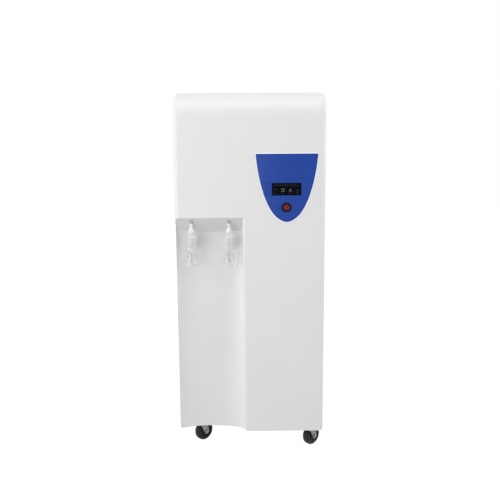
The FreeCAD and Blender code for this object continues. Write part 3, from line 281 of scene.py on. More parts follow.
finish_material("black_plastic", (0.018, 0.018, 0.019), (0.026, 0.026, 0.027),
                0.45, 0.06, 500.0, 0.00005, marks=0.3)
finish_material("button_red", (0.195, 0.011, 0.007), (0.165, 0.009, 0.006),
                0.3, 0.04, 500.0, 0.00002, sheen=0.3, extra=softened(0.25, 0.003))
finish_material("circuit_board", (0.015, 0.12, 0.04), (0.02, 0.16, 0.06),
                0.35, 0.08, 350.0, 0.00005, patch=90.0)
finish_material("aluminium_case", (0.62, 0.62, 0.63), (0.56, 0.56, 0.57),
                0.4, 0.06, 300.0, 0.00003, metal=1.0, patch=20.0)
finish_material("hose_grey", (0.50, 0.50, 0.505), (0.46, 0.46, 0.465),
                0.42, 0.05, 700.0, 0.00003, extra=softened(0.2, 0.002))
finish_material("grommet_pale", (0.66, 0.66, 0.665), (0.62, 0.62, 0.625),
                0.5, 0.05, 700.0, 0.00003)
finish_material("white_fitting", (0.83, 0.835, 0.83), (0.80, 0.805, 0.80),
                0.36, 0.05, 900.0, 0.00002, marks=0.1, extra=softened(0.25, 0.002))
finish_material("capsule_shell", (0.97, 0.97, 0.97), (0.94, 0.94, 0.94),
                0.4, 0.06, 500.0, 0.00002, sheen=0.25, extra=see_through(0.1, 1.45, 0.13, 0.20))
finish_material("filter_core", (0.88, 0.88, 0.88), (0.84, 0.84, 0.84),
                0.7, 0.05, 1400.0, 0.00008)
finish_material("bell_clear", (0.98, 0.98, 0.98), (0.965, 0.965, 0.965),
                0.2, 0.04, 260.0, 0.00002, sheen=0.25, extra=see_through(0.75, 1.49, 0.14, 0.22))
finish_material("pale_bowl", (0.75, 0.77, 0.78), (0.70, 0.72, 0.74),
                0.3, 0.05, 500.0, 0.00002)
finish_material("pump_paint", (0.05, 0.05, 0.055), (0.07, 0.07, 0.075),
                0.45, 0.06, 400.0, 0.00006)
finish_material("stainless", (0.62, 0.62, 0.62), (0.55, 0.55, 0.56),
                0.28, 0.06, 300.0, 0.00002, metal=1.0, patch=25.0)
finish_material("tank_paint", (0.74, 0.75, 0.76), (0.70, 0.71, 0.72),
                0.35, 0.05, 400.0, 0.00005)
finish_material("blue_lever", (0.03, 0.09, 0.40), (0.035, 0.10, 0.44),
                0.38, 0.05, 500.0, 0.00002)
finish_material("water_tube", (0.80, 0.81, 0.80), (0.77, 0.78, 0.77),
                0.36, 0.05, 600.0, 0.00002, extra=softened(0.3, 0.002))
finish_material("zinc_caster", (0.27, 0.27, 0.275), (0.20, 0.20, 0.21),
                0.34, 0.08, 220.0, 0.00004, metal=1.0, patch=80.0,
                extra=wear_to((0.45, 0.45, 0.45), 0.7))
finish_material("wheel_black", (0.006, 0.006, 0.0065), (0.010, 0.010, 0.0105),
                0.5, 0.08, 420.0, 0.00012, marks=0.35, sheen=0.3, patch=35.0)
finish_material("brass_blade", (0.66, 0.60, 0.42), (0.60, 0.53, 0.36),
                0.3, 0.06, 300.0, 0.00002, metal=1.0)

# the record's slots whose finish has another name
slot_finish = {"blue_panel": "shield_blue", "red_plastic": "button_red", "grey_hose": "hose_grey",
               "clear_capsule": "capsule_shell", "clear_bell": "bell_clear",
               "black_wheel": "wheel_black"}


def dress_nodes():
    """Gives every carried-over piece its finish."""
    for part in frame["record"]["subparts"]:
        piece = frame["nodes"][part["node"]]
        slot = part["material_slot"]
        finish = finishes[slot_finish.get(slot, slot)]
        for place in piece.material_slots:
            place.material = finish


dress_nodes()


# ---- making pieces ------------------------------------------------------------------------------
MM = 0.001
FORWARD = (math.radians(90.0), 0.0, 0.0)
BACKWARD = (math.radians(-90.0), 0.0, 0.0)
WELD, COPY_WELD = 0.000001, 0.00001  # points nearer than this become one
LEVEL = math.radians(0.5)  # faces that turn by less than this count as one
WALL_LEAN = 0.3  # the most that the normal of an upright wall points up or down
ROUND_HANDLE = 0.5523  # length of a quarter circle's handle over its radius


def deselect():
    """Leaves edit mode and selects nothing."""
    if bpy.context.object and bpy.context.object.mode == "EDIT":
        bpy.ops.object.mode_set(mode="OBJECT")
    bpy.ops.object.select_all(action="DESELECT")


def pick(piece):
    """Selects one piece alone."""
    deselect()
    piece.select_set(True)
    bpy.context.view_layer.objects.active = piece


def close_skin():
    """In edit mode: joins points that lie together and turns every face outwards."""
    bpy.ops.mesh.select_all(action="SELECT")
    bpy.ops.mesh.remove_doubles(threshold=WELD)
    bpy.ops.mesh.normals_make_consistent(inside=False)
    bpy.ops.object.mode_set(mode="OBJECT")


def lift_rings(rings):
    """In edit mode: draws the selected ring up through (radius, height) rings in millimetres."""
    for (radius, height), (next_radius, next_height) in zip(rings, rings[1:]):
        rise = (next_height - height) * MM
        bpy.ops.mesh.extrude_region_move(TRANSFORM_OT_translate={"value": (0.0, 0.0, rise)})
        grow = next_radius / radius
        bpy.ops.transform.resize(value=(grow, grow, 1.0),
                                 center_override=(0.0, 0.0, next_height * MM))


def turn_up(name, rings, sides, loop=False):
    """A round piece about the upright axis, from (radius, height) rings in millimetres.

    A loop comes back to its first ring, as a tube's section does. Otherwise both ends close flat.
    """
    deselect()
    radius, height = rings[0]
    bpy.ops.mesh.primitive_circle_add(vertices=sides, radius=radius * MM,
                                      location=(0.0, 0.0, height * MM))
    piece = bpy.context.active_object
    piece.name = name
    bpy.ops.object.mode_set(mode="EDIT")
    bpy.ops.mesh.select_mode(type="VERT")
    bpy.ops.mesh.select_all(action="SELECT")
    lift_rings(rings + rings[:1] if loop else rings)
    bpy.ops.mesh.select_all(action="SELECT")
    if not loop:
        bpy.ops.mesh.fill_holes(sides=0)
    close_skin()
    bpy.ops.object.transform_apply(location=True, rotation=True, scale=True)
    return piece


def settle(piece, place, turn=(0.0, 0.0, 0.0), crease=32.0):
    """Turns and moves a finished piece into its place, keeps that in its mesh and smooths it."""
    pick(piece)
    piece.rotation_euler = turn
    piece.location = place
    bpy.ops.object.transform_apply(location=True, rotation=True, scale=True)
    bpy.ops.object.shade_smooth_by_angle(angle=math.radians(crease))
    return piece


def mark_faces(piece, wanted):
    """Selects the faces whose middle and normal pass a test, and opens the piece for editing."""
    pick(piece)
    bpy.ops.object.mode_set(mode="EDIT")
    bpy.ops.mesh.select_mode(type="FACE")
    bpy.ops.mesh.select_all(action="DESELECT")
    bpy.ops.object.mode_set(mode="OBJECT")
    for face in piece.data.polygons:
        face.select = wanted(face.center, face.normal)
    bpy.ops.object.mode_set(mode="EDIT")


def sector(place, count):
    """Which of a round piece's equal sectors a point lies in."""
    return int((math.atan2(place.y, place.x) / (2 * math.pi) % 1.0) * count)


def raise_ribs(piece, sides, every, low, high, height):
    """Raises every so-many-th strip of a round piece between two heights, or sinks it."""
    mark_faces(piece, lambda place, normal: low * MM < place.z < high * MM
               and abs(normal.z) < WALL_LEAN and sector(place, sides) % every == 0)
    bpy.ops.mesh.extrude_region_shrink_fatten(
        TRANSFORM_OT_shrink_fatten={"value": height * MM, "use_even_offset": True})
    bpy.ops.object.mode_set(mode="OBJECT")


def soften_edges(piece, width, angle=35.0):
    """Rounds every edge sharper than the angle, by a width in millimetres."""
    pick(piece)
    bevel = piece.modifiers.new("softened", "BEVEL")
    bevel.width = width * MM
    bevel.segments = 2
    bevel.limit_method = "ANGLE"
    bevel.angle_limit = math.radians(angle)
    bevel.use_clamp_overlap = True
    bpy.ops.object.modifier_apply(modifier="softened")


def block(name, low, high, edge):
    """A slab between two corners with softened edges."""
    deselect()
    low, high = Vector(low), Vector(high)
    bpy.ops.mesh.primitive_cube_add(size=1.0, location=(low + high) / 2, scale=high - low)
    piece = bpy.context.active_object
    piece.name = name
    bpy.ops.object.transform_apply(location=True, rotation=True, scale=True)
    soften_edges(piece, edge)
    return piece


def take_copy(node, name):
    """A copy of a node's shape to work on, with its triangles joined into whole faces."""
    deselect()
    piece = bpy.data.objects.new(name, frame["nodes"][node].data.copy())
    scene.collection.objects.link(piece)
    pick(piece)
    bpy.ops.mesh.customdata_custom_splitnormals_clear()
    bpy.ops.object.mode_set(mode="EDIT")
    bpy.ops.mesh.select_all(action="SELECT")
    bpy.ops.mesh.remove_doubles(threshold=COPY_WELD)
    bpy.ops.mesh.dissolve_limited(angle_limit=LEVEL)
    bpy.ops.object.mode_set(mode="OBJECT")
    return piece


def join(pieces, name):
    """Makes one piece of several."""
    pick(pieces[0])
    for piece in pieces:
        piece.select_set(True)
    bpy.ops.object.join()
    pieces[0].name = name
    return pieces[0]


def fit(piece, finish, slot, body, *nodes):
    """Gives a piece its finish, fixes it to its body and lets it stand for its solids."""
    if finish:
        piece.data.materials.clear()
        piece.data.materials.append(finishes[finish])
    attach(piece, body)
    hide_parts(*nodes)


# ---- control panel ------------------------------------------------------------------------------
# How far the shield's outline runs past its solid, and how far right of it, and the points of its
# long side: above the waist, at it and below it, as (across from the middle, up from the foot).
SHIELD_ABOVE, SHIELD_BELOW, SHIELD_BESIDE, SHIELD_RIGHT = 0.7 * MM, 2.6 * MM, 0.8 * MM, 1.0 * MM
SHIELD_WAIST = ((68.7, 59.0), (40.6, 22.6), (32.9, 12.5))
WAIST_OUTWARD = (0.792, -0.611)
FLANK_IN, FLANK_DOWN, TIP_HANDLE = 6.0 * MM, 69.1 * MM, 15.5 * MM
RIM_WIDTH, RIM_EDGE, PLATE_EDGE = 2.8 * MM, 0.3 * MM, 0.08 * MM
PLATE_BEHIND_RIM, PLATE_IN_RIM, PLATE_IN_SHELL = 0.4 * MM, 0.02 * MM, 0.2 * MM
SHIELD_STEPS = 20
WINDOW_SLACK, BARREL_HOLE = 0.12 * MM, 11.6 * MM


def shield_corners(grow):
    """The blue field's outline, or one round it: a straight top, two long sides, a round tip."""
    centre = shield_x + SHIELD_RIGHT
    top = shield_high[2] + SHIELD_ABOVE + grow
    tip = shield_low[2] - SHIELD_BELOW - grow
    side = (shield_high[0] - shield_low[0]) / 2 + SHIELD_BESIDE + grow
    flank = (side - FLANK_IN, top - FLANK_DOWN)
    upper, waist, lower = [(across * MM + WAIST_OUTWARD[0] * grow,
                            shield_low[2] + up * MM + WAIST_OUTWARD[1] * grow)
                           for across, up in SHIELD_WAIST]

    def corner(hand, *points):
        """A point and its two handles, on the left, -1, or on the right, 1."""
        return [(centre + hand * x, z) for x, z in points]

    return [
        corner(-1, (side, top), (side / 2, top), flank),
        corner(-1, waist, upper, lower),
        corner(1, (0.0, tip), (-TIP_HANDLE, tip), (TIP_HANDLE, tip)),
        corner(1, waist, lower, upper),
        corner(1, (side, top), flank, (side / 2, top)),
    ]


def bar_corners(x, z, width, height):
    """A straight bar about a middle."""
    return [((x + i * width / 2, z + k * height / 2), None, None)
            for i, k in ((-1, -1), (1, -1), (1, 1), (-1, 1))]


def round_corners(x, z, radius):
    """A circle about a middle, as four rounded corners."""
    arm = radius * ROUND_HANDLE
    return [((x + radius, z), (x + radius, z - arm), (x + radius, z + arm)),
            ((x, z + radius), (x + arm, z + radius), (x - arm, z + radius)),
            ((x - radius, z), (x - radius, z + arm), (x - radius, z - arm)),
            ((x, z - radius), (x - arm, z - radius), (x + arm, z - radius))]


def caret_corners(x, z, width, height, thick):
    """An upward chevron about a middle."""
    top, foot, half = z + height / 2, z - height / 2, width / 2
    notch = top - 1.2 * thick
    points = [(x - half, foot), (x - half + thick, foot), (x, notch),
              (x + half - thick, foot), (x + half, foot), (x, top)]
    return [(point, None, None) for point in points]


def plate_of(name, outlines, front, back, edge, steps):
    """An upright plate of closed outlines in x and z. An outline inside another is a hole."""
    deselect()
    bpy.ops.curve.primitive_bezier_curve_add()
    drawn = bpy.context.active_object.data
    drawn.splines.clear()
    for corners in outlines:
        spline = drawn.splines.new("BEZIER")
        spline.bezier_points.add(len(corners) - 1)
        spline.use_cyclic_u = True
        for point, (place, before, after) in zip(spline.bezier_points, corners):
            point.co = (*place, 0.0)
            for side, handle in (("left", before), ("right", after)):
                setattr(point, "handle_%s_type" % side, "FREE" if handle else "VECTOR")
                if handle:
                    setattr(point, "handle_" + side, (*handle, 0.0))
    drawn.dimensions = "2D"
    drawn.fill_mode = "BOTH"
    drawn.resolution_u = steps
    drawn.extrude = (back - front) / 2 - edge
    drawn.bevel_depth = edge
    drawn.bevel_resolution = 1
    drawn.offset = -edge
    bpy.ops.object.convert(target="MESH")
    piece = bpy.context.active_object
    piece.name = name
    bpy.ops.object.mode_set(mode="EDIT")
    close_skin()
    return settle(piece, (0.0, (front + back) / 2, 0.0), FORWARD)


def make_shield():
    """The blue plate with its pale rim, cut for the window and the switch, on the front face."""
    back = front_y + PLATE_IN_SHELL
    window = bar_corners((lens_low[0] + lens_high[0]) / 2, (lens_low[2] + lens_high[2]) / 2,
                         lens_high[0] - lens_low[0] + WINDOW_SLACK,
                         lens_high[2] - lens_low[2] + WINDOW_SLACK)
    barrel = round_corners(shield_x, button_z, BARREL_HOLE)
    rim = plate_of("shield_rim", [shield_corners(RIM_WIDTH), shield_corners(0.0)],
                   shield_low[1], back, RIM_EDGE, SHIELD_STEPS)
    fit(rim, "shield_edge", "blue_panel", "cabinet", "control_fascia")
    plate = plate_of("shield_plate", [shield_corners(-PLATE_IN_RIM), window, barrel],
                     shield_low[1] + PLATE_BEHIND_RIM, back, PLATE_EDGE, SHIELD_STEPS)
    fit(plate, "shield_blue", "blue_panel", "cabinet", "control_fascia")


# The window's border and depth in millimetres, and what shows in it: bars as (across, up, width,
# height), a chevron with its thickness, dashes as (across, up, width) and a row of lamps.
WINDOW_BORDER, WINDOW_DEPTH = 0.9, 0.12
KEY_BARS = ((-10.9, -0.1, 10.4, 1.7), (-10.9, -6.1, 10.4, 1.4))
KEY_CARET = (11.0, -2.6, 9.2, 8.4, 2.2)
DASHES = ((-35.0, -12.0, 5.0), (-12.0, -12.5, 5.0), (10.2, -12.5, 5.0), (32.5, -11.5, 7.0),
          (-35.0, -0.5, 6.5), (32.5, -4.0, 8.0))
DASH_HEIGHT = 1.3
LAMPS, LAMP_PITCH, LAMP_UP, LAMP_RADIUS = 10, 7.4, 12.0, 1.3


def make_display():
    """The dark window with its touch symbols and the row of small lamps."""
    window = block("display_window", lens_low, lens_high, 0.25)
    mark_faces(window, lambda place, normal: normal.y < -0.9)
    bpy.ops.mesh.inset(thickness=WINDOW_BORDER * MM, depth=-WINDOW_DEPTH * MM)
    bpy.ops.object.mode_set(mode="OBJECT")
    settle(window, (0.0, 0.0, 0.0))
    fit(window, "smoked_window", "smoked_window", "cabinet", "display_lens")
    x, z = (lens_low[0] + lens_high[0]) / 2, (lens_low[2] + lens_high[2]) / 2

    def at(across, up, *sizes):
        """A place in the window with its sizes, in metres."""
        return (x + across * MM, z + up * MM, *(size * MM for size in sizes))

    keys = [bar_corners(*at(*bar)) for bar in KEY_BARS] + [caret_corners(*at(*KEY_CARET))]
    lamps = [round_corners(*at((step - (LAMPS - 1) / 2) * LAMP_PITCH, LAMP_UP, LAMP_RADIUS))
             for step in range(LAMPS)]
    dashes = [bar_corners(*at(*dash, DASH_HEIGHT)) for dash in DASHES]
    glass = lens_low[1] + WINDOW_DEPTH * MM
    for name, finish, outlines, steps in (("window_symbols", "window_symbols", keys, 24),
                                          ("window_lamps", "window_dots", lamps + dashes, 4)):
        marks = plate_of(name, outlines, glass - 0.1 * MM, glass + 0.05 * MM, 0.0, steps)
        fit(marks, finish, "smoked_window", "cabinet", "display_lens")


def make_switch():
    """The black collar with its barrel, and the red button in it."""
    place = (shield_x, front_y, button_z)
    reach = (front_y - collar_low[1]) / MM
    tail = (front_y - collar_high[1]) / MM
    rings = [(10.9, tail), (11.5, tail + 0.6), (11.5, reach - 3.4), (13.5, reach - 3.4),
             (14.0, reach - 2.9), (14.1, reach - 1.6), (13.9, reach - 0.8), (13.4, reach - 0.25),
             (12.6, reach), (10.8, reach - 0.1), (10.0, reach - 0.5), (9.4, reach - 1.1),
             (9.1, reach - 1.9), (9.0, tail + 3.0)]
    collar = turn_up("switch_collar", rings, 64)
    settle(collar, place, FORWARD)
    fit(collar, "collar_black", "black_plastic", "cabinet", "power_switch_bezel")
    tip = (front_y - button_low[1]) / MM
    end = (front_y - button_high[1]) / MM
    rings = [(8.4, end), (8.9, end + 0.5), (8.9, tip - 2.6), (8.75, tip - 1.9), (8.3, tip - 1.35),
             (7.5, tip - 0.95), (6.7, tip - 0.75), (6.5, tip - 0.85), (6.3, tip - 0.68),
             (5.0, tip - 0.38), (3.4, tip - 0.12), (1.5, tip)]
    button = turn_up("switch_button", rings, 64)
    settle(button, place, FORWARD)
    fit(button, "button_red", "red_plastic", "power_button_body", "power_button")


# ---- outlets ------------------------------------------------------------------------------------
# The height of the hood's lower front edge. Its underside slants down and back from there at 45
# degrees, and the grommets stand out of it by their lip.
HOOD_EDGE, GROMMET_LIP = 747.0 * MM, 1.0 * MM


def span(node):
    """The heights of a piece's foot and top in millimetres."""
    low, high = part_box(node)
    return low[2] / MM, high[2] / MM


def make_hose(side, x, y):
    """The grey hose stub in its grommet, which is cut to the slant of the hood's underside."""
    node = "outlet_stem_" + side
    foot, top = span(node)
    rings = [(2.0, foot), (3.2, foot), (3.4, foot + 0.2), (3.4, top - 0.2), (3.2, top), (2.0, top)]
    hose = turn_up("hose_stub_" + side, rings, 32, True)
    rings = [(3.42, foot - 6.0), (4.6, foot - 6.0), (4.6, top - 4.0), (3.42, top - 4.0)]
    grommet = turn_up("grommet_" + side, rings, 40, True)
    pick(grommet)
    bpy.ops.object.mode_set(mode="EDIT")
    bpy.ops.mesh.select_all(action="SELECT")
    lip = HOOD_EDGE - math.sqrt(2) * GROMMET_LIP
    bpy.ops.mesh.bisect(plane_co=(0.0, front_y - y, lip), plane_no=(0.0, -1.0, -1.0),
                        use_fill=True, clear_outer=True)
    close_skin()
    soften_edges(grommet, 0.4)
    for piece, finish in ((hose, "hose_grey"), (grommet, "grommet_pale")):
        settle(piece, (x, y, 0.0))
        fit(piece, finish, "grey_hose", "cabinet", node)


def make_union(side, x, y):
    """The white push-fit union: release collar, waist and a ribbed body that flares out."""
    node = "outlet_union_" + side
    foot, top = span(node)
    rings = [(2.02, top), (4.5, top), (5.2, top - 0.3), (5.5, top - 0.9), (5.5, top - 1.9),
             (5.1, top - 2.2), (5.1, top - 2.8), (5.5, top - 3.1), (5.5, top - 6.6),
             (5.1, top - 7.5), (4.3, top - 8.6), (4.1, top - 9.8), (4.1, top - 12.6),
             (4.6, top - 13.8), (6.9, top - 16.6), (7.9, top - 18.2), (8.3, top - 20.0),
             (8.3, foot + 1.2), (8.0, foot + 0.4), (7.4, foot), (2.02, foot)]
    union = turn_up("push_fit_union_" + side, rings, 40, True)
    raise_ribs(union, 40, 4, foot + 1.0, foot + 9.4, 0.35)
    settle(union, (x, y, 0.0), crease=38.0)
    fit(union, "white_fitting", "white_fitting", "cabinet", node)


def make_capsule(side, x, y):
    """The clouded capsule, with its weld bead, over a pleated white core."""
    node = "capsule_filter_" + side
    foot, top = span(node)
    outside = [(4.6, top), (7.2, top), (8.4, top - 0.6), (10.6, top - 2.2), (12.8, top - 4.4),
               (14.3, top - 7.2), (15.0, top - 10.2), (15.1, top - 13.0), (15.1, top - 24.6),
               (15.5, top - 25.0), (15.5, top - 26.4), (15.1, top - 26.8), (15.1, foot + 11.5),
               (14.8, foot + 8.6), (13.9, foot + 6.4), (12.2, foot + 5.2), (9.4, foot + 4.7),
               (6.8, foot + 4.2), (6.1, foot + 3.2), (6.0, foot)]
    inside = [(4.6, foot), (4.7, foot + 3.6), (6.4, foot + 5.6), (11.6, foot + 6.6),
              (13.2, foot + 9.0), (13.8, foot + 12.0), (13.9, top - 12.6), (13.4, top - 8.2),
              (11.6, top - 5.2), (7.6, top - 2.6), (4.7, top - 2.0)]
    shell = turn_up("capsule_shell_" + side, outside + inside, 48, True)
    settle(shell, (x, y, 0.0), crease=50.0)
    fit(shell, "capsule_shell", "clear_capsule", "cabinet", node)
    low, high, cap, pleat = foot + 9.5, top - 9.5, 2.5, 1.6
    rings = [(9.6, low), (11.6, low + 0.5), (11.6, low + cap - 0.1), (11.5, low + cap),
             (11.5, high - cap), (11.6, high - cap + 0.1), (11.6, high - 0.5), (9.6, high)]
    core = turn_up("capsule_core_" + side, rings, 64)
    raise_ribs(core, 64, 2, low + cap, high - cap, -pleat)
    settle(core, (x, y, 0.0))
    fit(core, "filter_core", "clear_capsule", "cabinet", node)


def make_bell(side, x, y):
    """The clear flared bell with a beaded rim around its nozzle."""
    node = "filling_bell_" + side
    foot, top = span(node)
    outside = [(2.4, top), (7.0, top), (7.6, top - 0.5), (9.0, top - 2.2), (11.2, top - 5.6),
               (13.2, top - 9.8), (14.9, top - 14.4), (16.5, top - 20.4), (17.9, top - 26.8),
               (19.0, top - 33.0), (19.8, top - 38.0), (20.4, foot + 2.4), (20.8, foot + 1.6),
               (20.8, foot + 0.7), (20.4, foot + 0.1), (19.8, foot)]
    inside = [(19.2, foot + 0.3), (18.7, foot + 2.2), (18.0, foot + 7.0), (16.9, foot + 13.0),
              (15.5, foot + 19.4), (13.9, foot + 25.6), (12.1, foot + 30.4), (10.1, foot + 34.6),
              (7.9, foot + 37.8), (5.2, foot + 38.8), (4.4, foot + 38.0), (4.2, foot + 36.6),
              (4.2, foot + 13.5), (4.5, foot + 13.1), (4.5, foot + 12.3), (4.0, foot + 11.6),
              (3.3, foot + 5.4), (2.9, foot + 5.0), (2.4, foot + 5.0)]
    bell = turn_up("flared_bell_" + side, outside + inside, 64, True)
    settle(bell, (x, y, 0.0), crease=60.0)
    fit(bell, "bell_clear", "clear_bell", "cabinet", node)


# ---- casters ------------------------------------------------------------------------------------
# Each piece is made once on a caster that trails along +X from a swivel axis at the origin. Its
# sizes are in millimetres.
CASTER_TURN = math.radians(45.0)
TRAIL, AXLE_HEIGHT, LEG_INSIDE, LEG, BOSS = 25.0, 31.5, 13.7, 2.5, 9.0
CROWN_FRONT, CROWN_BACK, CROWN_FOOT, CROWN_TOP = -9.0, 24.0, 73.7, 76.7
ALONG_AXLE = (math.radians(-90.0), 0.0, CASTER_TURN)


def copy_of(piece, name):
    """A copy of a finished piece with a mesh of its own."""
    twin = piece.copy()
    twin.data = piece.data.copy()
    twin.name = name
    scene.collection.objects.link(twin)
    return twin


def model_wheel():
    """The black wheel: a rounded tread with a moulding line, and pockets between its spokes."""
    web, web_start, web_end = 9.5, 12.6, 19.0
    half = [(31.2, 0.0), (31.5, 0.3), (31.5, 2.6), (31.3, 5.0), (30.7, 7.2), (29.6, 9.2),
            (28.0, 10.9), (26.2, 12.0), (24.4, 12.5), (23.2, 12.4), (22.0, 11.8), (20.9, 10.2),
            (20.2, 9.6), (web_end, web), (web_start, web), (11.4, 9.6), (10.6, 10.2),
            (10.1, 11.8), (9.6, 12.3), (8.8, 12.5), (4.1, 12.5)]
    rings = half + [(radius, -across) for radius, across in reversed(half[1:])]
    sides, spoke_every, pocket_sides, pocket_edge, pocket_depth = 64, 8, 6, 0.5, 2.6
    wheel = turn_up("wheel", rings, sides, True)
    for hand in (-1, 1):
        mark_faces(wheel, lambda place, normal: normal.z * hand > 0.95
                   and abs(abs(place.z) - web * MM) < 0.1 * MM
                   and web_start * MM < math.hypot(place.x, place.y) < web_end * MM
                   and sector(place, sides) % spoke_every < pocket_sides)
        bpy.ops.mesh.inset(thickness=pocket_edge * MM, depth=0.0)
        sink = (0.0, 0.0, -pocket_depth * MM * hand)
        bpy.ops.mesh.extrude_region_move(TRANSFORM_OT_translate={"value": sink})
        bpy.ops.object.mode_set(mode="OBJECT")
    return wheel


def leg_corners():
    """One fork leg from the side: wide at the crown, drawn in to a round boss about the axle."""
    crown, boss = CROWN_TOP * MM, BOSS * MM
    axle_x, axle_z = TRAIL * MM, AXLE_HEIGHT * MM
    front, back = CROWN_FRONT * MM, CROWN_BACK * MM

    def meeting(x, turn):
        """The heading at which the straight edge from one end of the crown meets the boss."""
        across, up = x - axle_x, crown - axle_z
        return math.atan2(up, across) + turn * math.acos(boss / math.hypot(across, up))

    start = meeting(front, 1)
    sweep = (meeting(back, -1) + 2 * math.pi - start) / 2
    arm = 4 / 3 * math.tan(sweep / 4) * boss
    corners = [((front, crown), None, None)]
    for step in range(3):
        angle = start + sweep * step
        place = (axle_x + boss * math.cos(angle), axle_z + boss * math.sin(angle))
        along = (-math.sin(angle) * arm, math.cos(angle) * arm)
        before = (place[0] - along[0], place[1] - along[1]) if step else place
        after = (place[0] + along[0], place[1] + along[1]) if step < 2 else place
        corners.append((place, before, after))
    return corners + [((back, crown), None, None)]


def model_leg(hand):
    """A pressed leg with a rolled border and a raised panel inside it."""
    faces = sorted((LEG_INSIDE * MM * hand, (LEG_INSIDE + LEG) * MM * hand))
    leg = plate_of("leg", [leg_corners()], *faces, 0.4 * MM, 10)
    mark_faces(leg, lambda place, normal: normal.y * hand > 0.99)
    bpy.ops.mesh.dissolve_limited(angle_limit=LEVEL)
    for border, rise in ((1.2, 0.0), (0.7, -0.8), (1.1, 0.0), (0.6, 0.7)):
        bpy.ops.mesh.inset(thickness=border * MM, depth=rise * MM)
    bpy.ops.object.mode_set(mode="OBJECT")
    return leg


def model_fork():
    """The swivel fork: ball race, crown and two pressed legs."""
    race = [(6.1, CROWN_FOOT), (20.6, CROWN_FOOT), (21.6, 74.4), (22.0, 75.6), (22.0, 77.6),
            (21.2, 78.0), (20.8, 78.8), (21.2, 79.6), (22.0, 80.0), (22.0, 82.4), (21.2, 84.0),
            (19.8, 84.7), (6.1, 84.7)]
    outer = (LEG_INSIDE + LEG) * MM
    crown = block("crown", (CROWN_FRONT * MM, -outer, CROWN_FOOT * MM),
                  (CROWN_BACK * MM, outer, CROWN_TOP * MM), 0.8)
    return join([turn_up("race", race, 48, True), crown, model_leg(-1), model_leg(1)], "fork")


def model_axle():
    """The wheel's bolt: hexagon head, washers, pin and nut."""
    reach = LEG_INSIDE + LEG
    pin = [(3.7, -reach - 2.3), (4.0, -reach - 2.0), (4.0, reach + 2.0), (3.7, reach + 2.3)]
    pieces = [turn_up("pin", pin, 24)]
    for hand in (-1, 1):
        washer = [(6.3, reach), (6.5, reach + 0.1), (6.5, reach + 0.5), (6.3, reach + 0.6)]
        nut = [(5.6, reach + 0.6), (6.1, reach + 0.9), (6.1, reach + 1.9), (5.4, reach + 2.5)]
        pieces.append(turn_up("washer", [(r, h * hand) for r, h in washer], 24))
        pieces.append(turn_up("nut", [(r, h * hand) for r, h in nut], 6))
    return join(pieces, "axle")


def make_casters():
    """Four casters, each a wheel on its bolt in a fork, at the headings they rest in."""
    wheel, fork, axle = model_wheel(), model_fork(), model_axle()
    trail = Vector((math.cos(CASTER_TURN), math.sin(CASTER_TURN), 0.0)) * TRAIL * MM
    for corner in CORNERS:
        centre = middle("caster_axle_" + corner)
        swivel = (centre.x - trail.x, centre.y - trail.y, 0.0)
        rolls, swivels = ("caster_%s_%s_body" % (corner, part) for part in ("wheel", "swivel"))
        tyre = settle(copy_of(wheel, "wheel_" + corner), centre, ALONG_AXLE)
        fit(tyre, "wheel_black", "black_wheel", rolls, "caster_wheel_" + corner)
        legs = settle(copy_of(fork, "fork_" + corner), swivel, (0.0, 0.0, CASTER_TURN))
        fit(legs, "zinc_caster", "zinc_caster", swivels, "caster_fork_" + corner)
        bolt = settle(copy_of(axle, "axle_" + corner), centre, ALONG_AXLE)
        fit(bolt, "zinc_caster", "zinc_caster", swivels, "caster_axle_" + corner)
    for first in (wheel, fork, axle):
        bpy.data.objects.remove(first)


# ---- back of the cabinet ------------------------------------------------------------------------
def make_bulkhead(node, name):
    """A bulkhead fitting: flange on the panel, ribbed nut and a release collar."""
    place = middle(node)
    rings = [(2.1, -18.0), (9.0, -18.0), (9.5, -17.4), (9.5, -1.2), (9.5, 0.0), (13.6, 0.0),
             (14.0, 0.4), (14.0, 2.5), (13.5, 3.0), (10.2, 3.0), (9.4, 3.5), (9.1, 4.4),
             (9.1, 15.6), (8.8, 16.4), (7.6, 16.8), (7.6, 18.2), (8.3, 18.5), (8.3, 20.6),
             (7.7, 21.4), (6.8, 22.0), (4.0, 22.0), (3.2, 21.3), (3.2, 7.0), (2.1, 7.0)]
    port = turn_up(name, rings, 40, True)
    raise_ribs(port, 40, 4, 5.0, 15.5, 0.4)
    settle(port, (place.x, rear_y, place.z), BACKWARD, 38.0)
    fit(port, "white_fitting", "white_fitting", "cabinet", node)


def make_mains_inlet():
    """The mains inlet: a softened housing with three bright blades in its socket."""
    flange, socket_depth, blade_pitch = 3.0 * MM, 18.0 * MM, 7.0 * MM
    blade_half, blade_reach, above_floor = 1.3 * MM, 4.5 * MM, 0.4 * MM
    inlet = take_copy("power_inlet", "mains_inlet")
    inlet.data.materials.clear()
    for finish in ("black_plastic", "brass_blade"):
        inlet.data.materials.append(finishes[finish])
    centre = middle("power_inlet")
    floor = rear_y + flange - socket_depth
    soften_edges(inlet, 0.3, 40.0)
    for face in inlet.data.polygons:
        place = face.center
        across = min(abs(place.x - centre.x - column * blade_pitch) for column in (-1, 0, 1))
        if (place.y > floor + above_floor and across < blade_half
                and abs(place.z - centre.z) < blade_reach):
            face.material_index = 1
    settle(inlet, (0.0, 0.0, 0.0), crease=28.0)
    fit(inlet, None, "black_plastic", "cabinet", "power_inlet")


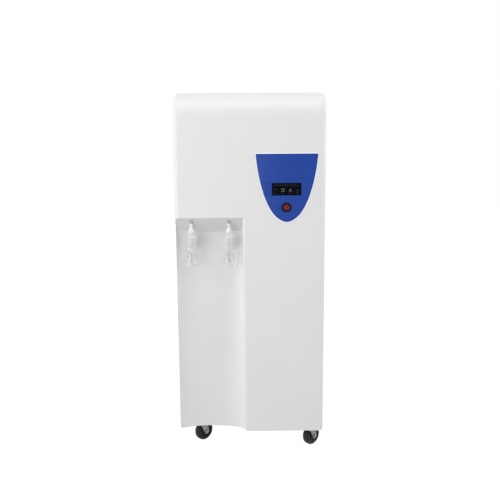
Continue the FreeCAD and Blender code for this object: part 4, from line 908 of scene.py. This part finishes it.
def make_screw():
    """One pan-head screw with a hexagon socket, standing on its seat."""
    top, socket, socket_floor = 2.1, 1.35, 0.9
    head = [(3.3, 0.0), (3.5, 0.2), (3.5, 0.8), (3.3, 1.4), (2.8, 1.85), (2.1, top)]
    screw = turn_up("panel_screw", head, 24)
    mark_faces(screw, lambda place, normal: normal.z > 0.99 and place.z > (top - 0.1) * MM)
    bpy.ops.mesh.delete(type="ONLY_FACE")
    bpy.ops.mesh.select_mode(type="VERT")
    bpy.ops.mesh.select_all(action="DESELECT")
    bpy.ops.mesh.primitive_circle_add(vertices=6, radius=socket * MM,
                                      location=(0.0, 0.0, top * MM))
    lift_rings([(socket, top), (socket - 0.05, socket_floor)])
    bpy.ops.mesh.edge_face_add()
    bpy.ops.mesh.select_mode(type="EDGE")
    bpy.ops.mesh.select_all(action="DESELECT")
    bpy.ops.mesh.select_non_manifold()
    bpy.ops.mesh.bridge_edge_loops()
    close_skin()
    return screw


def make_screws():
    """The ten screws of the rear panel, each turned a little further than the one below it."""
    low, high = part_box("panel_screws")
    head, rows, turn = 3.5 * MM, 5, math.radians(17.0)
    first = make_screw()
    pieces = []
    for x in (low[0] + head, high[0] - head):
        for step in range(rows):
            z = low[2] + head + (high[2] - low[2] - 2 * head) * step / (rows - 1)
            screw = copy_of(first, "panel_screw")
            pieces.append(settle(screw, (x, rear_y, z), (BACKWARD[0], turn * step, 0.0)))
    bpy.data.objects.remove(first)
    screws = join(pieces, "rear_panel_screws")
    fit(screws, "zinc_caster", "zinc_caster", "cabinet", "panel_screws")


make_shield()
make_display()
make_switch()
for side in SIDES:
    tap = middle("outlet_union_" + side)
    for make in (make_hose, make_union, make_capsule, make_bell):
        make(side, tap.x, tap.y)
make_casters()
make_bulkhead("feed_port", "feed_fitting")
make_bulkhead("drain_port", "drain_fitting")
make_mains_inlet()
make_screws()


# ---- camera, light and floor --------------------------------------------------------------------
def set_camera():
    """A camera a little above the middle of the unit and tipped down at it."""
    tipped, rolled = 8.9, 0.4
    data = bpy.data.cameras.new("front_camera")
    data.sensor_width = 36.0
    data.lens = 43.2
    camera = bpy.data.objects.new("front_camera", data)
    scene.collection.objects.link(camera)
    tilt = Matrix.Rotation(math.radians(90.0 - tipped), 3, "X")
    roll = Matrix.Rotation(math.radians(-rolled), 3, "Z")
    camera.location = (-0.0009, front_y - 1.782, 0.9287)
    camera.rotation_euler = (tilt @ roll).to_euler()
    scene.camera = camera


def soft_lamp(name, place, target, width, height, power):
    """A rectangular lamp that faces a point."""
    data = bpy.data.lights.new(name, "AREA")
    data.shape = "RECTANGLE"
    data.size = width
    data.size_y = height
    data.energy = power
    lamp = bpy.data.objects.new(name, data)
    scene.collection.objects.link(lamp)
    lamp.location = place
    lamp.rotation_euler = (Vector(target) - Vector(place)).to_track_quat("-Z", "Y").to_euler()


def seen_directly(tree):
    """1 for rays from the camera and for what gloss and glass show of it."""
    path = tree.nodes.new("ShaderNodeLightPath")
    seen = maths(tree, "MAXIMUM", path.outputs["Is Camera Ray"], path.outputs["Is Glossy Ray"])
    return maths(tree, "MAXIMUM", seen, path.outputs["Is Transmission Ray"])


def light_the_room(level, front):
    """A white room to the eye that lights the unit from all round at a plain level.

    Gloss sees the same white room, but for the side in front of the unit, where it sees its own
    dusk. The dusk comes in between two headings.
    """
    dark_until, white_from = -0.75, -0.15
    world = bpy.data.worlds.new("pale_room")
    scene.world = world
    world.use_nodes = True
    tree = world.node_tree
    background = tree.nodes["Background"]
    background.inputs["Color"].default_value = (1.0, 1.0, 1.0, 1.0)
    strength = remap(tree, seen_directly(tree), 0.0, 1.0, level, 1.0)
    way = tree.nodes.new("ShaderNodeSeparateXYZ")
    tree.links.new(tree.nodes.new("ShaderNodeTexCoord").outputs["Generated"], way.inputs["Vector"])
    dusk = remap(tree, way.outputs["Y"], dark_until, white_from, 1.0 - front, 0.0)
    path = tree.nodes.new("ShaderNodeLightPath")
    dusk = maths(tree, "MULTIPLY", dusk, path.outputs["Is Glossy Ray"])
    light = maths(tree, "MULTIPLY", strength, maths(tree, "SUBTRACT", 1.0, dusk))
    tree.links.new(light, background.inputs["Strength"])


def lay_floor():
    """A pale floor that looks as white as the room and keeps the unit's shadow."""
    size, shade, glow_level, glow_share = 16.0, 0.45, 1.32, 0.72
    deselect()
    bpy.ops.mesh.primitive_plane_add(size=size, location=(0.0, 0.0, 0.0))
    floor = bpy.context.active_object
    floor.name = "studio_floor"
    material = bpy.data.materials.new("studio_floor")
    material.use_nodes = True
    tree = material.node_tree
    shader = tree.nodes["Principled BSDF"]
    shader.inputs["Base Color"].default_value = (shade, shade, shade, 1.0)
    shader.inputs["Roughness"].default_value = 0.9
    glow = tree.nodes.new("ShaderNodeEmission")
    glow.inputs["Strength"].default_value = glow_level
    mix = tree.nodes.new("ShaderNodeMixShader")
    share = maths(tree, "MULTIPLY", seen_directly(tree), glow_share)
    tree.links.new(share, mix.inputs["Fac"])
    tree.links.new(shader.outputs["BSDF"], mix.inputs[1])
    tree.links.new(glow.outputs["Emission"], mix.inputs[2])
    tree.links.new(mix.outputs["Shader"], tree.nodes["Material Output"].inputs["Surface"])
    floor.data.materials.append(material)


scene.view_settings.view_transform = "Standard"
set_camera()
light_the_room(level=0.54, front=0.15)
soft_lamp("left_softbox", (-2.5, -1.5, 1.3), (0.0, -0.2, 0.8), 2.4, 2.0, 32.0)
soft_lamp("right_softbox", (2.4, -0.8, 1.4), (0.0, -0.2, 0.8), 1.4, 1.4, 24.0)
soft_lamp("front_softbox", (-1.4, -2.4, 1.1), (0.0, -0.2, 0.9), 1.4, 1.2, 13.0)
soft_lamp("top_softbox", (0.1, -1.1, 2.6), (0.0, -0.1, 1.0), 1.4, 1.0, 9.0)
lay_floor()
